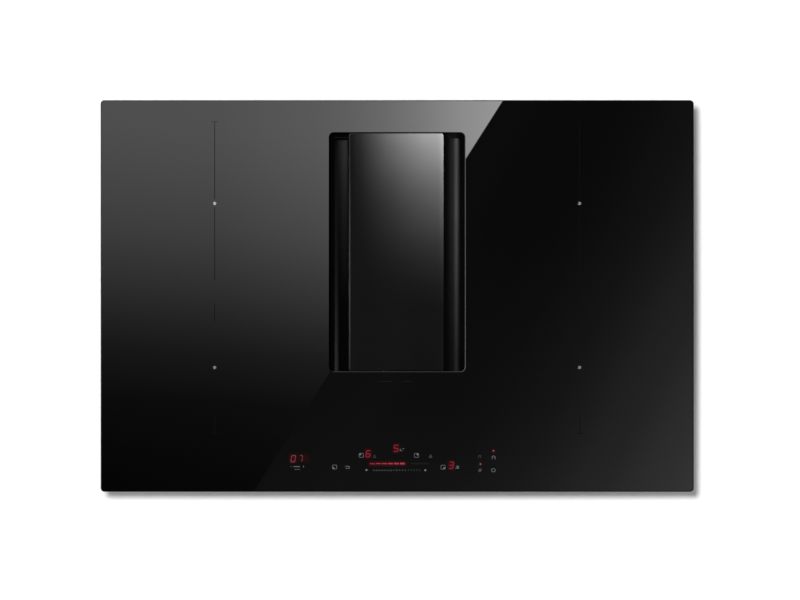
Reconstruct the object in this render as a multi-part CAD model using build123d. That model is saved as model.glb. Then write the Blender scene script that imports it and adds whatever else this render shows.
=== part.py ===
from build123d import *
import os
from math import cos, hypot, pi, sin

# Downdraft induction cooktop. Millimetres, +X right, +Y rear, +Z up.
# The origin is on the flat underside of the extractor housing, below the centre of the glass.

# ---------------------------------------------------------------- driving dimensions
GLASS_W, GLASS_D = 780.0, 515.0
GLASS_TOP, GLASS_T = 212.0, 4.0
GLASS_R, GLASS_CHAMFER = 5.0, 1.2
GLASS_Z0 = GLASS_TOP - GLASS_T

OPEN_W, OPEN_L, OPEN_R, OPEN_CHAMFER = 178.4, 314.0, 6.0, 0.8
WELL_Y = 57.7
OPEN_FRONT, OPEN_REAR = WELL_Y - OPEN_L / 2, WELL_Y + OPEN_L / 2

FLAP_W, FLAP_L, FLAP_T, FLAP_R = 176.4, 312.2, 3.0, 3.5
FLAP_TILT = 46.0
PIVOT_X, PIVOT_Z = -16.5, 205.0
ROD_R, RUN = 2.5, 0.05
SWING_R, WALL_R = 107.5, 111.5

SHELF = 7.2
COLLAR_Z0, LEDGE_Z = 152.0, 160.0
BASIN_Z0, THROAT_Z = 104.0, 126.0
THROAT_X = 60.0
FILTER_Y0, FILTER_Y1 = OPEN_FRONT + 10.5, OPEN_REAR - SHELF - 5.0
FILTER_Z0, FILTER_Z1 = 112.0, 124.0

CASE_X, CASE_Y, CASE_T = 373.0, 243.0, 1.0
CASE_Z0, CASE_Z1 = 150.0, 204.0

ZONE_X, ZONE_REAR_Y, ZONE_FRONT_Y = 240.0, 122.3, -93.4
COIL_WIRE_R, COIL_PITCH, COIL_TURNS = 1.7, 4.4, 16
COIL_R_IN, COIL_STRAIGHT, COIL_Z = 22.0, 20.0, 205.0
PLATE_Z0, PLATE_Z1, FERRITE_Z1 = 197.0, 199.0, 203.0
COIL_FIELD_X, COIL_FIELD_Y = 190.0, 208.0

BOARD_Z0, BOARD_T = 160.0, 1.6
BOARD_X0, BOARD_X1, BOARD_Y0, BOARD_Y1 = 125.0, 350.0, -95.0, 225.0
FAN_Y, FAN_SIDE, FAN_BORE_R, FAN_BLADE_R = -150.0, 80.0, 37.0, 35.5
FAN_Z0, FAN_Z1 = 153.0, 178.0

WELL_X, WELL_Y0, WELL_Y1, WELL_Z1 = 106.0, -112.0, 227.0, 100.0
WALL = 3.0
WINDOW_Y0, WINDOW_Y1, WINDOW_Z0, WINDOW_Z1 = -85.0, 200.0, 24.0, 90.0

BLOW_X0, BLOW_X1, BLOW_Y0, BLOW_Y1 = 109.0, 368.0, -118.0, 236.0
BLOW_SPLIT, BLOW_Z1, BLOW_T = 72.0, 147.0, 2.5
HUB_X, HUB_Y = 236.0, 20.0
SCROLL_R, SCROLL_STEP, SCROLL_T = 98.0, 8.0, 2.5
SCROLL_Z0, SCROLL_Z1 = 24.0, 118.0
IMPELLER_R, BLADE_R_IN, BLADES = 88.0, 73.0, 32
SHAFT_R = 4.0
DUCT_W, DUCT_H = 222.0, 89.0
DUCT_X0, DUCT_X1 = 136.0, 358.0
DUCT_MID_Z = (SCROLL_Z0 + SCROLL_T + SCROLL_Z1) / 2
DAMPER_Y, DAMPER_PIN_R = 190.0, 1.5

nodes = {}


# ---------------------------------------------------------------- shape helpers
def block(x0, x1, y0, y1, z0, z1):
    """A box between two opposite corners."""
    return Pos(x0, y0, z0) * Box(x1 - x0, y1 - y0, z1 - z0, align=(Align.MIN,) * 3)


def slab(x0, x1, y0, y1, z0, z1, r):
    """A box with round vertical corners."""
    outline = Pos((x0 + x1) / 2, (y0 + y1) / 2, z0) * RectangleRounded(x1 - x0, y1 - y0, r)
    return extrude(outline, z1 - z0)


def rod(x, y, z0, z1, r):
    """A vertical cylinder."""
    return Pos(x, y, z0) * Cylinder(r, z1 - z0, align=(Align.CENTER, Align.CENTER, Align.MIN))


def rod_y(x, z, y0, y1, r):
    """A cylinder along Y."""
    centre = Pos(x, (y0 + y1) / 2, z) * Rot(90, 0, 0)
    return centre * Cylinder(r, y1 - y0)


def rod_x(y, z, x0, x1, r):
    """A cylinder along X."""
    centre = Pos((x0 + x1) / 2, y, z) * Rot(0, 90, 0)
    return centre * Cylinder(r, x1 - x0)


def tray(x0, x1, y0, y1, z0, z1, t, r, floor=None):
    """An open-topped tray with round corners."""
    floor = t if floor is None else floor
    inner = slab(x0 + t, x1 - t, y0 + t, y1 - t, z0 + floor, z1 + 1, max(r - t, 0.5))
    return slab(x0, x1, y0, y1, z0, z1, r) - inner


def ring(x0, x1, y0, y1, z0, z1, t, r):
    """A flat rectangular ring."""
    inner = slab(x0 + t, x1 - t, y0 + t, y1 - t, z0 - 1, z1 + 1, max(r - t, 0.5))
    return slab(x0, x1, y0, y1, z0, z1, r) - inner


def tilt(shape):
    """Turns a flap piece, drawn shut, to the open rest position."""
    return shape.rotate(Axis((PIVOT_X, 0, PIVOT_Z), (0, 1, 0)), FLAP_TILT)


def both_sides(draw):
    """The same pieces drawn for the left and for the right half."""
    return [draw(side) for side in (-1, 1)]


def side_block(side, x0, x1, y0, y1, z0, z1):
    """A box on the left or right half, from distances off the middle."""
    return block(min(side * x0, side * x1), max(side * x0, side * x1), y0, y1, z0, z1)


def keep(name, *solids):
    """Files one node: a single solid, or a group of separate solids."""
    nodes[name] = solids[0] if len(solids) == 1 else Compound(children=list(solids))


# ---------------------------------------------------------------- glass and its frame
def glass_top():
    plate = slab(-GLASS_W / 2, GLASS_W / 2, -GLASS_D / 2, GLASS_D / 2, GLASS_Z0, GLASS_TOP, GLASS_R)
    plate = chamfer(plate.faces().sort_by(Axis.Z)[-1].edges(), GLASS_CHAMFER)
    plate -= slab(-OPEN_W / 2, OPEN_W / 2, OPEN_FRONT, OPEN_REAR, GLASS_Z0 - 1, GLASS_TOP + 1, OPEN_R)
    rim = plate.faces().sort_by(Axis.Z)[-1].inner_wires()[0]
    return chamfer(rim.edges(), OPEN_CHAMFER)


def glass_group():
    keep("glass_top", glass_top())
    seal_x, seal_y, seal_w = GLASS_W / 2 - 2, GLASS_D / 2 - 2, 11.0
    keep("worktop_seal", ring(-seal_x, seal_x, -seal_y, seal_y, GLASS_Z0 - 2, GLASS_Z0, seal_w, GLASS_R))
    keep("glass_frame", ring(-CASE_X, CASE_X, -CASE_Y, CASE_Y, CASE_Z1, GLASS_Z0, 10.0, 4.0))


# ---------------------------------------------------------------- cooktop casing
FIX_Y, FIX_Z, FIX_R = 200.0, 180.0, 2.1
BOSSES = [(150.0, -90.0), (330.0, -90.0), (150.0, 200.0), (330.0, 200.0)]
SCREW_R = 1.9


def fan_slots(side):
    """Air slots in the casing floor below one cooling fan."""
    pitch, length, width = 9.0, 62.0, 4.0
    rows = range(-3, 4)
    return [
        slab(
            side * ZONE_X - length / 2, side * ZONE_X + length / 2,
            FAN_Y + row * pitch - width / 2, FAN_Y + row * pitch + width / 2,
            CASE_Z0 - 1, CASE_Z0 + 2, 1.9,
        )
        for row in rows
    ]


def rear_louvres(side):
    """Warm-air slots in the rear wall of the casing."""
    pitch, width = 16.0, 6.0
    return [
        block(
            side * ZONE_X + col * pitch - width / 2, side * ZONE_X + col * pitch + width / 2,
            CASE_Y - 3, CASE_Y + 1, CASE_Z0 + 14, CASE_Z0 + 40,
        )
        for col in range(-5, 6)
    ]


def hob_casing():
    case = tray(-CASE_X, CASE_X, -CASE_Y, CASE_Y, CASE_Z0, CASE_Z1, CASE_T, 4.0)
    case += ring(-CASE_X, CASE_X, -CASE_Y, CASE_Y, CASE_Z1 - CASE_T, CASE_Z1, 9.0, 4.0)
    cuts = [slab(-98, 98, -110.5, 226, CASE_Z0 - 1, CASE_Z0 + 2, 6.0)]
    for side in (-1, 1):
        cuts += fan_slots(side) + rear_louvres(side)
        ends = sorted((side * (CASE_X - 2), side * (CASE_X + 1)))
        cuts += [rod_x(y, FIX_Z, *ends, FIX_R) for y in (-FIX_Y, FIX_Y)]
    cuts += [rod(x, y, CASE_Z0 - 1, CASE_Z0 + 2, SCREW_R + 0.3) for x, y in BOSSES]
    cuts.append(rod(-300, 170, CASE_Z0 - 1, CASE_Z0 + 2, 9.0))
    return case - cuts


def spring_clip(side, y):
    """A bowed leaf that grips the edge of the worktop cut-out."""
    face, bow, z0, z1 = CASE_X * side, 4.0 * side, 162.0, 196.0
    middle = (z0 + z1) / 2
    outline = [
        ThreePointArc((face, z0), (face + bow, middle), (face, z1)),
        Line((face, z1), (face, z1 - 2)),
        ThreePointArc((face, z1 - 2), (face + 0.8 * bow, middle), (face, z0 + 2)),
        Line((face, z0 + 2), (face, z0)),
    ]
    leaf = make_face(Curve() + outline)
    return Pos(0, y + 9, 0) * Rot(90, 0, 0) * extrude(leaf, 18)


# ---------------------------------------------------------------- induction coils
def zones():
    """Centres of the four cooking zones."""
    return [(side * ZONE_X, y) for side in (-1, 1) for y in (ZONE_FRONT_Y, ZONE_REAR_Y)]


def winding():
    """One unbroken flat spiral of litz wire, racetrack shaped, centred on the origin."""
    runs = []
    x, r, half = COIL_R_IN, COIL_R_IN, COIL_STRAIGHT / 2
    for turn in range(2 * COIL_TURNS):
        up = 1 if turn % 2 == 0 else -1
        x_next = x - up * 2 * r
        runs.append(Edge.make_line((x, -up * half, COIL_Z), (x, up * half, COIL_Z)))
        crown = ((x + x_next) / 2, up * (half + r), COIL_Z)
        runs.append(Edge.make_three_point_arc((x, up * half, COIL_Z), crown, (x_next, up * half, COIL_Z)))
        x, r = x_next, r + COIL_PITCH / 2
    path = Wire(runs)
    start = Plane(origin=(COIL_R_IN, -half, COIL_Z), x_dir=(1, 0, 0), z_dir=(0, 1, 0))
    return sweep(start * Circle(COIL_WIRE_R), path=path)


def print_winding_gap():
    """Measures the least gap between neighbouring turns on points round the spiral."""
    steps = [i * pi / 18 for i in range(36 * COIL_TURNS)]
    radius = [COIL_R_IN + COIL_PITCH * a / (2 * pi) for a in steps]
    points = [(r * cos(a), r * sin(a)) for r, a in zip(radius, steps)]
    gaps = [hypot(p[0] - q[0], p[1] - q[1]) for p, q in zip(points, points[36:])]
    print("winding: least gap", round(min(gaps) - 2 * COIL_WIRE_R, 2), "mm")


def coil_group():
    coil = winding()
    half_x, half_y = COIL_FIELD_X / 2, COIL_FIELD_Y / 2
    plate = slab(-half_x, half_x, -half_y, half_y, PLATE_Z0, PLATE_Z1, 22.0) - rod(0, 0, 190, 200, 9.0)
    mica = slab(-half_x, half_x, -half_y, half_y, COIL_Z + 1.9, COIL_Z + 2.8, 22.0)
    sensor = rod(0, 0, PLATE_Z1 - 4, COIL_Z + 1.7, 7.0) + rod(0, 0, PLATE_Z1, PLATE_Z1 + 2, 11.0)
    bar = block(28, 88, -5, 5, PLATE_Z1, FERRITE_Z1)
    bars = [Rot(0, 0, 45 * i) * bar for i in range(8)]
    keep("coil_windings", *[Pos(x, y, 0) * coil for x, y in zones()])
    keep("coil_plates", *[Pos(x, y, 0) * plate for x, y in zones()])
    keep("mica_sheets", *[Pos(x, y, 0) * mica for x, y in zones()])
    keep("zone_sensors", *[Pos(x, y, 0) * sensor for x, y in zones()])
    keep("ferrite_bars", *[Pos(x, y, 0) * one for x, y in zones() for one in bars])
    inner = CASE_Y - CASE_T
    rail = block(-11, 11, -inner, inner, 190, PLATE_Z0) - block(-9, 9, -inner - 1, inner + 1, 189, 195)
    keep("coil_rails", *[Pos(side * x, 0, 0) * rail for side in (-1, 1) for x in (185.0, 295.0)])


# ---------------------------------------------------------------- power electronics
def board_tray(side):
    base = side_block(side, 112, 365, -235, 235, CASE_Z0 + CASE_T, CASE_Z0 + CASE_T + 2)
    base -= rod(side * ZONE_X, FAN_Y, CASE_Z0, FAN_Z0 + 1, FAN_BORE_R)
    base -= [rod(x, y, CASE_Z0, FAN_Z0 + 1, 6.0) for x, y in BOSSES]
    pegs = [(x, y) for x in (BOARD_X0 + 8, BOARD_X1 - 8) for y in (BOARD_Y0 + 8, BOARD_Y1 - 8)]
    return base + [rod(side * x, y, CASE_Z0 + CASE_T + 1, BOARD_Z0, 4.0) for x, y in pegs]


def heatsink(side):
    z0, z1 = BOARD_Z0 + BOARD_T, 186.0
    base = side_block(side, 150, 202, -80, 120, z0, z0 + 5)
    fins = [side_block(side, 150 + 6.25 * i, 152 + 6.25 * i, -80, 120, z0 + 4, z1) for i in range(9)]
    return base + fins


def choke(side, y):
    at = side * 320
    z0 = BOARD_Z0 + BOARD_T
    return rod(at, y, z0, z0 + 15, 17.0) - rod(at, y, z0 - 1, z0 + 16, 8.0)


def fan_frame(side):
    """Square fan frame with a round duct, four struts and a bearing boss."""
    at = side * ZONE_X
    half = FAN_SIDE / 2
    frame = slab(at - half, at + half, FAN_Y - half, FAN_Y + half, FAN_Z0, FAN_Z1, 6.0)
    frame -= rod(at, FAN_Y, FAN_Z0 - 1, FAN_Z1 + 1, FAN_BORE_R)
    frame += block(at - 2.5, at + 2.5, FAN_Y - half + 2, FAN_Y + half - 2, FAN_Z0, FAN_Z0 + 3)
    frame += block(at - half + 2, at + half - 2, FAN_Y - 2.5, FAN_Y + 2.5, FAN_Z0, FAN_Z0 + 3)
    frame += rod(at, FAN_Y, FAN_Z0, FAN_Z0 + 4, 12.0)
    return frame - rod(at, FAN_Y, FAN_Z0 + 1, FAN_Z0 + 5, 1.5 + RUN)


def fan_rotor(side):
    """Hub, stub shaft and seven pitched blades."""
    at = Pos(side * ZONE_X, FAN_Y, 0)
    hub = rod(0, 0, FAN_Z0 + 5, FAN_Z1 - 2, 13.0) + rod(0, 0, FAN_Z0 + 1.2, FAN_Z0 + 6, 1.5)
    blade = Pos(0, 0, FAN_Z0 + 14) * Rot(38, 0, 0) * block(11, FAN_BLADE_R, -11, 11, -0.8, 0.8)
    blade &= rod(0, 0, FAN_Z0 + 5.5, FAN_Z1 - 2.5, FAN_BLADE_R)
    return at * (hub + [Rot(0, 0, 360 / 7 * i) * blade for i in range(7)])


def power_group():
    keep("board_trays", *both_sides(board_tray))
    keep("heatsinks", *both_sides(heatsink))
    for side, name in ((-1, "left"), (1, "right")):
        board = side_block(side, BOARD_X0, BOARD_X1, BOARD_Y0, BOARD_Y1, BOARD_Z0, BOARD_Z0 + BOARD_T)
        keep("power_board_" + name, board)
        keep("cooling_fan_rotor_" + name, fan_rotor(side))
    keep("cooling_fan_frames", *both_sides(fan_frame))
    z0 = BOARD_Z0 + BOARD_T
    spots = [(side * x, y) for side in (-1, 1) for x, y in ((235, 180), (265, 180), (235, 150), (265, 150))]
    keep("board_capacitors", *[rod(x, y, z0, z0 + 22, 12.0) for x, y in spots])
    keep("board_chokes", *[choke(side, y) for side in (-1, 1) for y in (40.0, 85.0)])


# ---------------------------------------------------------------- touch controls
TOUCH_X0, TOUCH_X1, TOUCH_Y0, TOUCH_Y1 = -143.0, 139.0, -231.5, -192.0
DIGITS = [(-136.9, -214.5), (-126.0, -214.5), (-38.6, -208.0), (-1.7, -200.6), (71.2, -223.1)]
LEVEL_X0, LEVEL_X1, LEVEL_Y = -38.0, 42.0, -220.5


def touch_group():
    z0, z1 = 196.0, 204.0
    carrier = tray(TOUCH_X0, TOUCH_X1, TOUCH_Y0, TOUCH_Y1, z0, z1, 2.0, 3.0)
    carrier += [block(x, x + 2, TOUCH_Y0 + 1, TOUCH_Y1 - 1, z0 + 1, z1) for x in (-90.0, -1.0, 88.0)]
    carrier += [block(x, x + 14, -241.5, TOUCH_Y0 + 1, z0, z0 + 3) for x in (-110.0, 96.0)]
    keep("touch_carrier", carrier)
    keep("touch_board", slab(TOUCH_X0, TOUCH_X1, TOUCH_Y0, TOUCH_Y1, z1, z1 + 1.6, 3.0))
    digits = [block(x - 4.6, x + 4.6, y - 6.2, y + 6.2, z1 + 1.6, GLASS_Z0) for x, y in DIGITS]
    level = block(LEVEL_X0, LEVEL_X1, LEVEL_Y - 1.6, LEVEL_Y + 1.6, z1 + 1.6, GLASS_Z0)
    keep("displays", *digits, level)
    bends = [(-192, 202.5), (-182, 202.5), (-106, 163.1), (-90, 163.1), (-90, 161.6), (-106.5, 161.6),
             (-182.5, 201), (-192, 201)]
    strip = make_face(Plane.YZ * Polyline(*bends, close=True))
    keep("ribbon_cable", Pos(-141, 0, 0) * extrude(strip, 14, dir=(1, 0, 0)))


# ---------------------------------------------------------------- air intake and flap
def swing_cut(y0, y1):
    """Room for the sinking right half of the flap."""
    return rod_y(PIVOT_X, PIVOT_Z, y0, y1, SWING_R) - block(-200, PIVOT_X, y0 - 1, y1 + 1, 0, 400)


def intake_collar():
    half = OPEN_W / 2
    body = slab(-half - 8, half + 8, OPEN_FRONT - 8, OPEN_REAR + 8, COLLAR_Z0, GLASS_Z0 - 1, 9.0)
    body += slab(-half - 14, half + 14, OPEN_FRONT - 14, OPEN_REAR + 14, GLASS_Z0 - 3, GLASS_Z0, 9.0)
    body -= slab(-half - 0.6, half + 0.6, OPEN_FRONT - 0.6, OPEN_REAR + 0.6, LEDGE_Z, GLASS_TOP, OPEN_R)
    body -= basin_plan(COLLAR_Z0 - 1, GLASS_TOP)
    return body - swing_cut(OPEN_FRONT, OPEN_REAR)


def basin_plan(z0, z1):
    """The basin's outline: a shelf at the left, right and rear, none at the front."""
    half = OPEN_W / 2 - SHELF
    wide = slab(-half, half, OPEN_FRONT + 20, OPEN_REAR - SHELF, z0, z1, 4.0)
    return wide + block(-half, half, OPEN_FRONT, OPEN_FRONT + 40, z0, z1)


def basin_void():
    """Two concave side walls that follow the flap's swing, down to the filter throat."""
    y0, y1 = OPEN_FRONT, OPEN_REAR - SHELF
    right = rod_y(PIVOT_X, PIVOT_Z, y0, y1, WALL_R) - block(-200, 0, y0 - 1, y1 + 1, 0, 400)
    upper = right + mirror(right, about=Plane.YZ)
    upper = upper & block(-120, 120, y0 - 1, y1 + 1, THROAT_Z, COLLAR_Z0 + 1)
    throat = slab(-THROAT_X, THROAT_X, FILTER_Y0 - 1.2, FILTER_Y1 + 1.2, FILTER_Z0, THROAT_Z + 1, 5.0)
    lip = slab(-THROAT_X + 8, THROAT_X - 8, FILTER_Y0 + 7, FILTER_Y1 - 7, BASIN_Z0 - 1, FILTER_Z0 + 1, 5.0)
    return upper + throat + lip


WELL_SCREWS = [(-101.0, -104.0), (101.0, -104.0), (-101.0, 219.0), (101.0, 219.0)]


def intake_basin():
    body = slab(-96, 96, -108, 223, BASIN_Z0, COLLAR_Z0, 7.0)
    body += slab(-WELL_X, WELL_X, WELL_Y0, WELL_Y1, BASIN_Z0, BASIN_Z0 + 4, 7.0)
    body -= basin_void()
    body -= swing_cut(OPEN_FRONT, OPEN_REAR)
    return body - [rod(x, y, BASIN_Z0 - 1, BASIN_Z0 + 8, SCREW_R + 0.3) for x, y in WELL_SCREWS]


def cradle(y0, y1):
    """A block with an open-topped slot, in which the pivot rod lies."""
    body = block(PIVOT_X - 4, PIVOT_X + 4, y0, y1, PIVOT_Z - 16, PIVOT_Z + 0.8)
    slot = rod_y(PIVOT_X, PIVOT_Z, y0 - 1, y1 + 1, ROD_R + RUN)
    mouth = block(PIVOT_X - ROD_R - RUN, PIVOT_X + ROD_R + RUN, y0 - 1, y1 + 1, PIVOT_Z, PIVOT_Z + 2)
    return body - slot - mouth


def flap_glass():
    y0 = WELL_Y - FLAP_L / 2
    plate = slab(-FLAP_W / 2, FLAP_W / 2, y0, y0 + FLAP_L, GLASS_TOP - FLAP_T, GLASS_TOP, FLAP_R)
    rims = plate.faces().sort_by(Axis.Z)[-1].edges()
    return chamfer(rims, 0.5)


def flap_carrier():
    """Moulded tray under the flap's glass, with a tunnel for the pivot rod."""
    y0, y1 = OPEN_FRONT + 10.5, OPEN_REAR - 10.5
    z1 = GLASS_TOP - FLAP_T
    body = slab(-83, 83, y0, y1, z1 - 2.2, z1, 4.0)
    body += [block(-80, 80, y - 1, y + 1, z1 - 5, z1 - 1) for y in (y0 + 12, WELL_Y, y1 - 12)]
    body += [block(x - 1, x + 1, y0 + 4, y1 - 4, z1 - 5, z1 - 1) for x in (-79.0, 20.0, 50.0, 79.0)]
    body += rod_y(PIVOT_X, PIVOT_Z, y0, y1, 4.6) & block(-40, 10, y0, y1, 190, z1)
    return body - rod_y(PIVOT_X, PIVOT_Z, y0 - 1, y1 + 1, ROD_R + RUN)


def intake_group():
    keep("intake_collar", intake_collar())
    keep("intake_basin", intake_basin())
    keep("flap_cradles", cradle(OPEN_FRONT - 0.6, OPEN_FRONT + 9), cradle(OPEN_REAR - 9, OPEN_REAR + 0.6))
    keep("flap_rod", rod_y(PIVOT_X, PIVOT_Z, OPEN_FRONT + 0.5, OPEN_REAR - 0.5, ROD_R))
    keep("flap_carrier", tilt(flap_carrier()))
    keep("flap_glass", tilt(flap_glass()))


# ---------------------------------------------------------------- filters and drip tray
def grease_mesh(x, y0, y1):
    """Perforated filter pad."""
    sheet = Pos(0, (y0 + y1) / 2) * Rectangle(2 * x, y1 - y0)
    holes = [
        Pos(-45 + 15 * col, y0 + 10 + 14.1 * row) * Rectangle(9, 8) for col in range(7) for row in range(20)
    ]
    return Pos(0, 0, FILTER_Z0 + 3) * extrude(sheet - holes, 6)


def odour_cassette(y0, y1):
    z0, z1 = WINDOW_Z0 + 0.2, WINDOW_Z1 - 0.2
    return block(78, 102.5, y0, y1, z0, z1) - block(77, 104, y0 + 5, y1 - 5, z0 + 5, z1 - 5)


def odour_block(y0, y1):
    """A block of carbon with rows of air channels."""
    z0, z1 = WINDOW_Z0 + 5.2, WINDOW_Z1 - 5.2
    body = block(80, 100.5, y0 + 5, y1 - 5, z0, z1)
    pitch_y = (y1 - y0 - 16) / 10
    channels = [
        block(79, 102, y0 + 9 + pitch_y * i, y0 + 9 + pitch_y * (i + 0.68), z0 + 4 + 10.2 * j, z0 + 10.5 + 10.2 * j)
        for i in range(10)
        for j in range(5)
    ]
    return body - channels


def filter_group():
    x, y0, y1 = THROAT_X - 1.2, FILTER_Y0, FILTER_Y1
    frame = ring(-x, x, y0, y1, FILTER_Z0, FILTER_Z1, 4.0, 4.5)
    frame += block(-x + 2, x - 2, WELL_Y - 10, WELL_Y + 10, FILTER_Z1 - 3, FILTER_Z1)
    keep("grease_filter_frame", frame)
    keep("grease_filter_mesh", grease_mesh(x - 4.2, y0 + 4.2, y1 - 4.2))
    bow = block(-5, 5, WELL_Y - 36, WELL_Y + 36, FILTER_Z1, FILTER_Z1 + 20)
    bow = fillet(bow.edges().filter_by(Axis.X).sort_by(Axis.Z)[-2:], 8)
    bow -= block(-6, 6, WELL_Y - 31, WELL_Y + 31, FILTER_Z1 - 1, FILTER_Z1 + 15)
    bow += block(-5, 5, WELL_Y - 36, WELL_Y + 36, FILTER_Z1, FILTER_Z1 + 2)
    keep("grease_filter_handle", bow)
    middle = (WINDOW_Y0 + WINDOW_Y1) / 2
    spans = {"front": (WINDOW_Y0 + 0.5, middle - 0.5), "rear": (middle + 0.5, WINDOW_Y1 - 0.5)}
    for name, (start, end) in spans.items():
        keep("odour_cassette_" + name, odour_cassette(start, end))
        keep("odour_block_" + name, odour_block(start, end))
    keep("drip_tray", tray(-49, 49, -82, 188, WALL, 22, 1.5, 10.0))


# ---------------------------------------------------------------- well housing
def well_housing():
    body = tray(-WELL_X, WELL_X, WELL_Y0, WELL_Y1, 0, WELL_Z1, WALL, 8.0)
    body += [rod(x, y, 1, WELL_Z1, 5.0) for x, y in WELL_SCREWS]
    body += block(77, WELL_X - 1, WELL_Y0 + 1, WELL_Y1 - 1, WINDOW_Z0 - 3, WINDOW_Z0)
    body += [block(x, x + 2, -84, 190, 1, WALL + 8) for x in (-53.0, 51.0)]
    body -= block(WELL_X - 5, WELL_X + 1, WINDOW_Y0, WINDOW_Y1, WINDOW_Z0, WINDOW_Z1)
    return body - [rod(x, y, WELL_Z1 - 16, WELL_Z1 + 1, SCREW_R) for x, y in WELL_SCREWS]


def well_group():
    keep("well_housing", well_housing())
    top_seal = ring(-WELL_X, WELL_X, WELL_Y0, WELL_Y1, WELL_Z1, BASIN_Z0, 3.0, 8.0)
    side_seal = block(WELL_X, BLOW_X0, WINDOW_Y0 - 8, WINDOW_Y1 + 8, WINDOW_Z0 - 8, WINDOW_Z1 + 8)
    side_seal -= block(WELL_X - 1, BLOW_X0 + 1, WINDOW_Y0, WINDOW_Y1, WINDOW_Z0, WINDOW_Z1)
    keep("duct_seals", top_seal, side_seal)


# ---------------------------------------------------------------- blower
def blower_cuts():
    """The air window at the left and the duct mouth at the rear."""
    window = block(BLOW_X0 - 1, BLOW_X0 + 4, WINDOW_Y0, WINDOW_Y1, WINDOW_Z0, WINDOW_Z1)
    mouth = block(DUCT_X0 - 3, DUCT_X1 + 3, BLOW_Y1 - 4, BLOW_Y1 + 1, SCROLL_Z0 - 0.5, SCROLL_Z1 + 3)
    return [window, mouth]


def blower_base():
    body = tray(BLOW_X0, BLOW_X1, BLOW_Y0, BLOW_Y1, 0, BLOW_SPLIT, BLOW_T, 8.0)
    body += [rod(HUB_X + x, HUB_Y + y, 1, SCROLL_Z0, 6.0) for x in (-72, 86) for y in (-55, 60)]
    return body - blower_cuts()


def blower_cover():
    body = slab(BLOW_X0, BLOW_X1, BLOW_Y0, BLOW_Y1, BLOW_SPLIT, BLOW_Z1, 8.0)
    inner = (BLOW_X0 + BLOW_T, BLOW_X1 - BLOW_T, BLOW_Y0 + BLOW_T, BLOW_Y1 - BLOW_T)
    body -= slab(*inner, BLOW_SPLIT - 1, BLOW_Z1 - BLOW_T, 6.0)
    body += [rod(x, y, BLOW_Z1 - 12, CASE_Z0, 7.0) for x, y in BOSSES]
    body -= [rod(x, y, BLOW_Z1 - 10, CASE_Z0 + 1, SCREW_R) for x, y in BOSSES]
    return body - blower_cuts()


def scroll_outline():
    """Plan of the air passage: three growing quarter arcs, then a channel that widens to the duct."""
    r, a = SCROLL_R, SCROLL_STEP
    rear = BLOW_Y1 - HUB_Y
    left, right = DUCT_X0 - HUB_X, DUCT_X1 - HUB_X
    tongue, shoulder = (26.0, 94.5), (34.0, 104.0)
    arcs = [
        ThreePointArc(tongue, (30.0, 97.5), shoulder),
        Line(shoulder, (left, rear - 60)),
        Line((left, rear - 60), (left, rear)),
        Line((left, rear), (right, rear)),
        Line((right, rear), (right, a)),
        CenterArc((a, a), r + 2 * a, 0, -90),
        CenterArc((a, 0), r + a, 270, -90),
        CenterArc((0, 0), r, 180, -90),
        ThreePointArc((0, r), (13.2, 97.1), tongue),
    ]
    return Pos(HUB_X, HUB_Y) * make_face(Curve() + arcs)


def scroll_body():
    void = scroll_outline()
    outer = offset(void, SCROLL_T, kind=Kind.INTERSECTION) & (
        Pos(HUB_X, BLOW_Y1 - 200) * Rectangle(400, 400)
    )
    wall = Pos(0, 0, SCROLL_Z0) * extrude(outer, SCROLL_Z1 - SCROLL_Z0)
    return wall - Pos(0, 0, SCROLL_Z0 + SCROLL_T) * extrude(void, SCROLL_Z1)


def scroll_lid():
    """Flat lid with a bell mouth turned down into the impeller."""
    outer = offset(scroll_outline(), SCROLL_T, kind=Kind.INTERSECTION) & (
        Pos(HUB_X, BLOW_Y1 - 200) * Rectangle(400, 400)
    )
    lid = Pos(0, 0, SCROLL_Z1) * extrude(outer, SCROLL_T)
    lid += rod(HUB_X, HUB_Y, SCROLL_Z1 - 14, SCROLL_Z1 + SCROLL_T, 72.0)
    lid -= rod(HUB_X, HUB_Y, SCROLL_Z1 - 15, SCROLL_Z1 + SCROLL_T + 1, 69.5)
    return lid


def impeller():
    """Forward-curved blower wheel."""
    z0, z1 = 60.0, 109.0
    wheel = rod(0, 0, z0, z0 + 2, IMPELLER_R)
    wheel += rod(0, 0, z0 + 1, z0 + 22, 13.0)
    wheel += rod(0, 0, z1 - 3, z1, IMPELLER_R) - rod(0, 0, z1 - 4, z1 + 1, BLADE_R_IN + 2)
    mid_r = (IMPELLER_R + BLADE_R_IN) / 2
    outline = make_face(
        Curve()
        + [
            ThreePointArc((BLADE_R_IN, 0), (mid_r, 2.6), (IMPELLER_R - 0.6, 9)),
            Line((IMPELLER_R - 0.6, 9), (IMPELLER_R - 1.7, 9.6)),
            ThreePointArc((IMPELLER_R - 1.7, 9.6), (mid_r - 0.8, 4.0), (BLADE_R_IN, 1.4)),
            Line((BLADE_R_IN, 1.4), (BLADE_R_IN, 0)),
        ]
    )
    blade = Pos(0, 0, z0 + 1) * extrude(outline, z1 - z0 - 2)
    wheel += [Rot(0, 0, 360 / BLADES * i) * blade for i in range(BLADES)]
    wheel -= rod(0, 0, z0 - 1, z0 + 23, SHAFT_R)
    return Pos(HUB_X, HUB_Y, 0) * wheel


def blower_motor():
    """Motor can with a cooling crown and a blind bearing bore for the shaft."""
    body = rod(0, 0, 31, 54, 46.0) + rod(0, 0, 54, 57, 30.0)
    body += [Rot(0, 0, 120 * i) * block(30, 52, -8, 8, 31, 35) for i in range(3)]
    slots = [Rot(0, 0, 30 * i) * block(34, 43, -2.5, 2.5, 48, 55) for i in range(12)]
    body -= [rod(0, 0, 36, 58, SHAFT_R + RUN)] + slots
    return Pos(HUB_X, HUB_Y, 0) * body


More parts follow.
